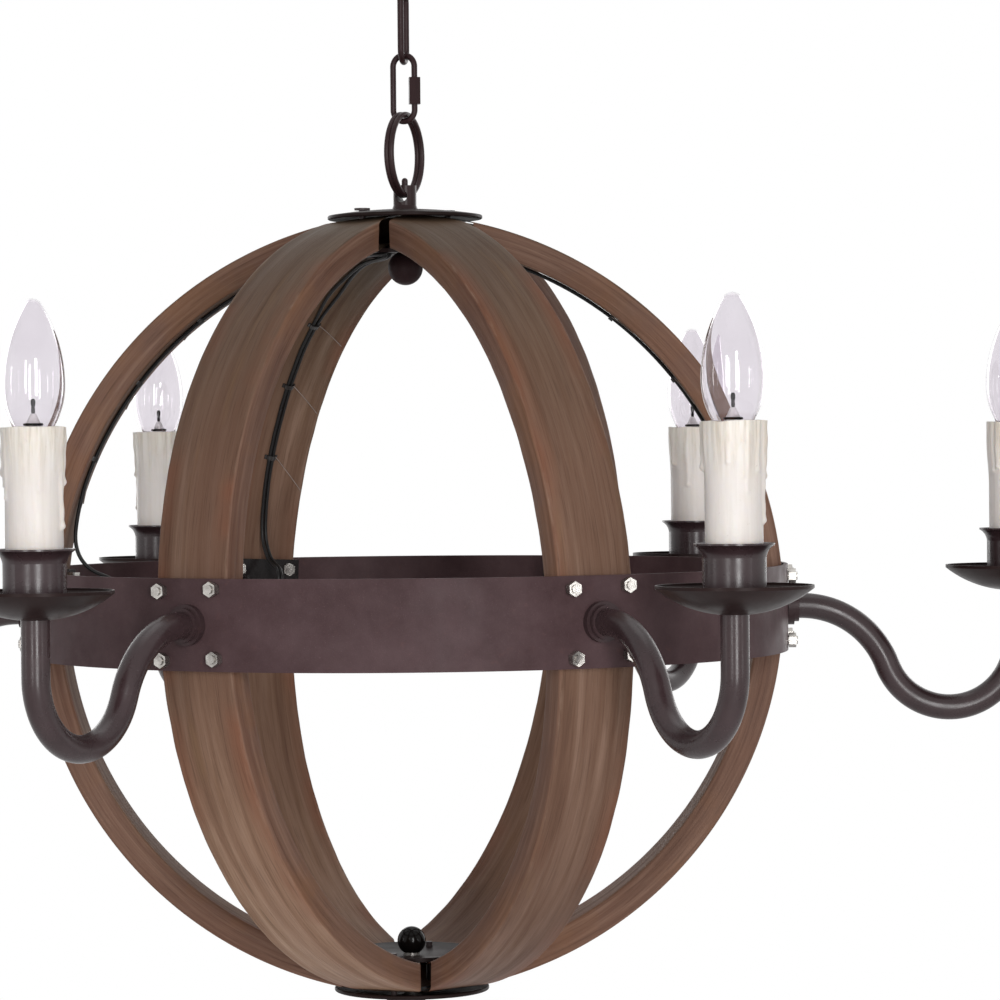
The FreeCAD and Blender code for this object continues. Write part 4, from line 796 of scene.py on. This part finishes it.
def tie_tail(reach, fall):
    """Points of a tie's tail across the rib's face to its far edge, falling by some degrees."""
    spots = []
    for step in range(TAIL_STEPS + 1):
        share = step / TAIL_STEPS
        slide = math.radians(-fall * share - 0.4 * share * share)
        radius = BEND_INNER - 0.42 - 1.5 * max(0.0, 0.3 - share)
        spots.append(Vector((radius * math.cos(slide), TAIL_START - reach * share,
                             radius * math.sin(slide))))
    return spots


def make_clips():
    """Slim clips that hold the leads on the ribs, each with the clear tail of its tie."""
    whole = bmesh.new()
    lean = Matrix.Rotation(math.radians(LEAN), 4, "X")
    seat = math.sqrt(BEND_INNER ** 2 - SADDLE_HALF ** 2)
    for index, angle in enumerate(ANGLES):
        for number, up in enumerate(CLIP_ANGLES):
            # the rib leans, and the lead stands upright, so each clip is moved across the rib
            rise = RISE + BEND_INNER * math.sin(math.radians(up))
            shift = rise * math.tan(math.radians(LEAN))
            bm = saddle()
            bmesh.ops.translate(bm, vec=(seat, 0, 0), verts=bm.verts)
            fall = TAIL_FALL - LESS_FALL * number + MORE_FALL * ((index * 2 + number) % 3)
            tail = tie_tail(TAIL_REACH + shift - LESS_REACH * number, fall)
            add_tube(bm, tail, TAIL_RADIUS, TAIL_AROUND, 1)
            stand = (Matrix.Translation((BEND_X, shift, RISE))
                     @ Matrix.Rotation(math.radians(-up), 4, "Y"))
            bmesh.ops.transform(bm, matrix=turned(angle) @ lean @ stand, verts=bm.verts)
            join(whole, bm)
    obj = add_piece("lead_clips_slim", whole, FINISHES["clip_black"], "globe",
                    place(0), CLIP_EDGE)
    obj.data.materials.append(NYLON)
    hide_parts("lead_clips")


for index, angle in enumerate(ANGLES):
    make_rib(index, angle)
    make_sleeve(index, angle)
    make_bulb(index, angle)
make_leads(lead_line())
make_clips()


# ---- floor, light, camera ----

# the floor's size in millimetres, its drop below the part in metres, and its glow
FLOOR_RADIUS, FLOOR_THICK, FLOOR_DROP, FLOOR_GLOW = 3600.0, 20.0, 1.15, 0.42
WORLD_SOFT = 0.16
# each lamp's place, width and height in metres, and its power in watts
LAMPS = {
    "key_left": ((-1.1, -3.1, BAND_Z + 0.35), 0.40, 1.5, 19),
    "key_right": ((0.85, -3.2, BAND_Z + 0.30), 0.50, 1.9, 54),
    "left_glint": ((-2.95, -1.0, BAND_Z + 0.25), 0.10, 0.9, 3.5),
    "right_strip": ((2.6, -1.8, BAND_Z + 0.1), 0.10, 0.9, 4),
    "back_left": ((-1.6, 2.9, BAND_Z + 0.6), 1.2, 1.6, 13),
    "back_right": ((1.8, 2.8, BAND_Z + 0.6), 1.2, 1.6, 13),
    "top": ((0.2, 0.3, 2.2), 1.6, 1.6, 7),
}
# the photograph's camera, fitted to the band, the ribs and the candles: its focal length in
# pixels of a picture PICTURE wide, its place in millimetres, and its turns in radians
PICTURE, FOCAL, DISTANCE, HEIGHT = 1000, 3893.85, 2468.4, 101.26
YAW, PITCH, ROLL, CAMERA_TURN = -0.023724, -0.013336, -0.008849, math.radians(2.287)
SENSOR = 36


def make_lamp(name, spot, wide, high, power):
    """A rectangular lamp that shines on the band's middle."""
    data = bpy.data.lights.new(name, "AREA")
    data.shape = "RECTANGLE"
    data.size = wide
    data.size_y = high
    data.energy = power
    obj = bpy.data.objects.new(name, data)
    obj.location = spot
    aim = Vector((0, 0, BAND_Z)) - Vector(spot)
    obj.rotation_euler = aim.to_track_quat("-Z", "Y").to_euler()
    bpy.context.scene.collection.objects.link(obj)


def make_floor():
    """A pale floor far below the part, which takes its shadow and glows a little when seen."""
    s = Shade("floor_pale")
    tone = s.ramp(s.noise(s.coords(), 3, 3), (0.3, 0.86), (0.7, 0.90))
    plain = s.add("ShaderNodeBsdfPrincipled", Base_Color=tone, Roughness=0.7,
                  Specular_IOR_Level=0.1)
    glow = s.add("ShaderNodeEmission", Strength=s.math("MULTIPLY", s.seen(), FLOOR_GLOW))
    both = s.add("ShaderNodeAddShader", i0=plain.outputs[0], i1=glow.outputs[0])
    outline = ((0.0, 0.0), (FLOOR_RADIUS, 0.0), (FLOOR_RADIUS, -FLOOR_THICK), (0.0, -FLOOR_THICK))
    obj = to_object("floor", lathe(outline, 96), s.output(both.outputs[0]))
    obj.location.z = CAD_BOX[0].z - FLOOR_DROP


def make_world():
    """White to the camera, in reflections and through glass; a softer even light elsewhere."""
    world = bpy.data.worlds.new("studio")
    bpy.context.scene.world = world
    world.use_nodes = True
    nodes = Nodes(world.node_tree)
    soft = nodes.add("ShaderNodeBackground", Color=(0.97, 0.97, 1.0, 1), Strength=WORLD_SOFT)
    white = nodes.add("ShaderNodeBackground", Color=(1, 1, 1, 1), Strength=1.0)
    mix = nodes.add("ShaderNodeMixShader", i0=nodes.seen(), i1=soft.outputs[0],
                    i2=white.outputs[0])
    nodes.add("ShaderNodeOutputWorld", Surface=mix.outputs[0])


def make_camera():
    """The photograph's camera."""
    yaw = Matrix(((math.cos(YAW), math.sin(YAW), 0), (-math.sin(YAW), math.cos(YAW), 0),
                  (0, 0, 1)))
    pitch = Matrix(((1, 0, 0), (0, math.cos(PITCH), math.sin(PITCH)),
                    (0, -math.sin(PITCH), math.cos(PITCH))))
    roll = Matrix(((math.cos(ROLL), 0, math.sin(ROLL)), (0, 1, 0),
                   (-math.sin(ROLL), 0, math.cos(ROLL))))
    right, forward, up = roll @ pitch @ yaw
    data = bpy.data.cameras.new("camera")
    data.sensor_width = SENSOR
    data.lens = FOCAL / PICTURE * SENSOR
    data.clip_start, data.clip_end = 0.05, 60
    obj = bpy.data.objects.new("camera", data)
    swing = Matrix.Rotation(CAMERA_TURN, 4, "Z")
    spot = Matrix.Translation(Vector((0, -DISTANCE, HEIGHT)) * MM)
    basis = Matrix((right, up, -forward)).transposed().to_4x4()
    obj.matrix_world = Matrix.Translation((0, 0, BAND_Z)) @ swing @ spot @ basis
    bpy.context.scene.collection.objects.link(obj)
    bpy.context.scene.camera = obj


make_floor()
make_world()
make_camera()
for lamp_name, settings in LAMPS.items():
    make_lamp(lamp_name, *settings)
bpy.context.scene.view_settings.view_transform = "Standard"
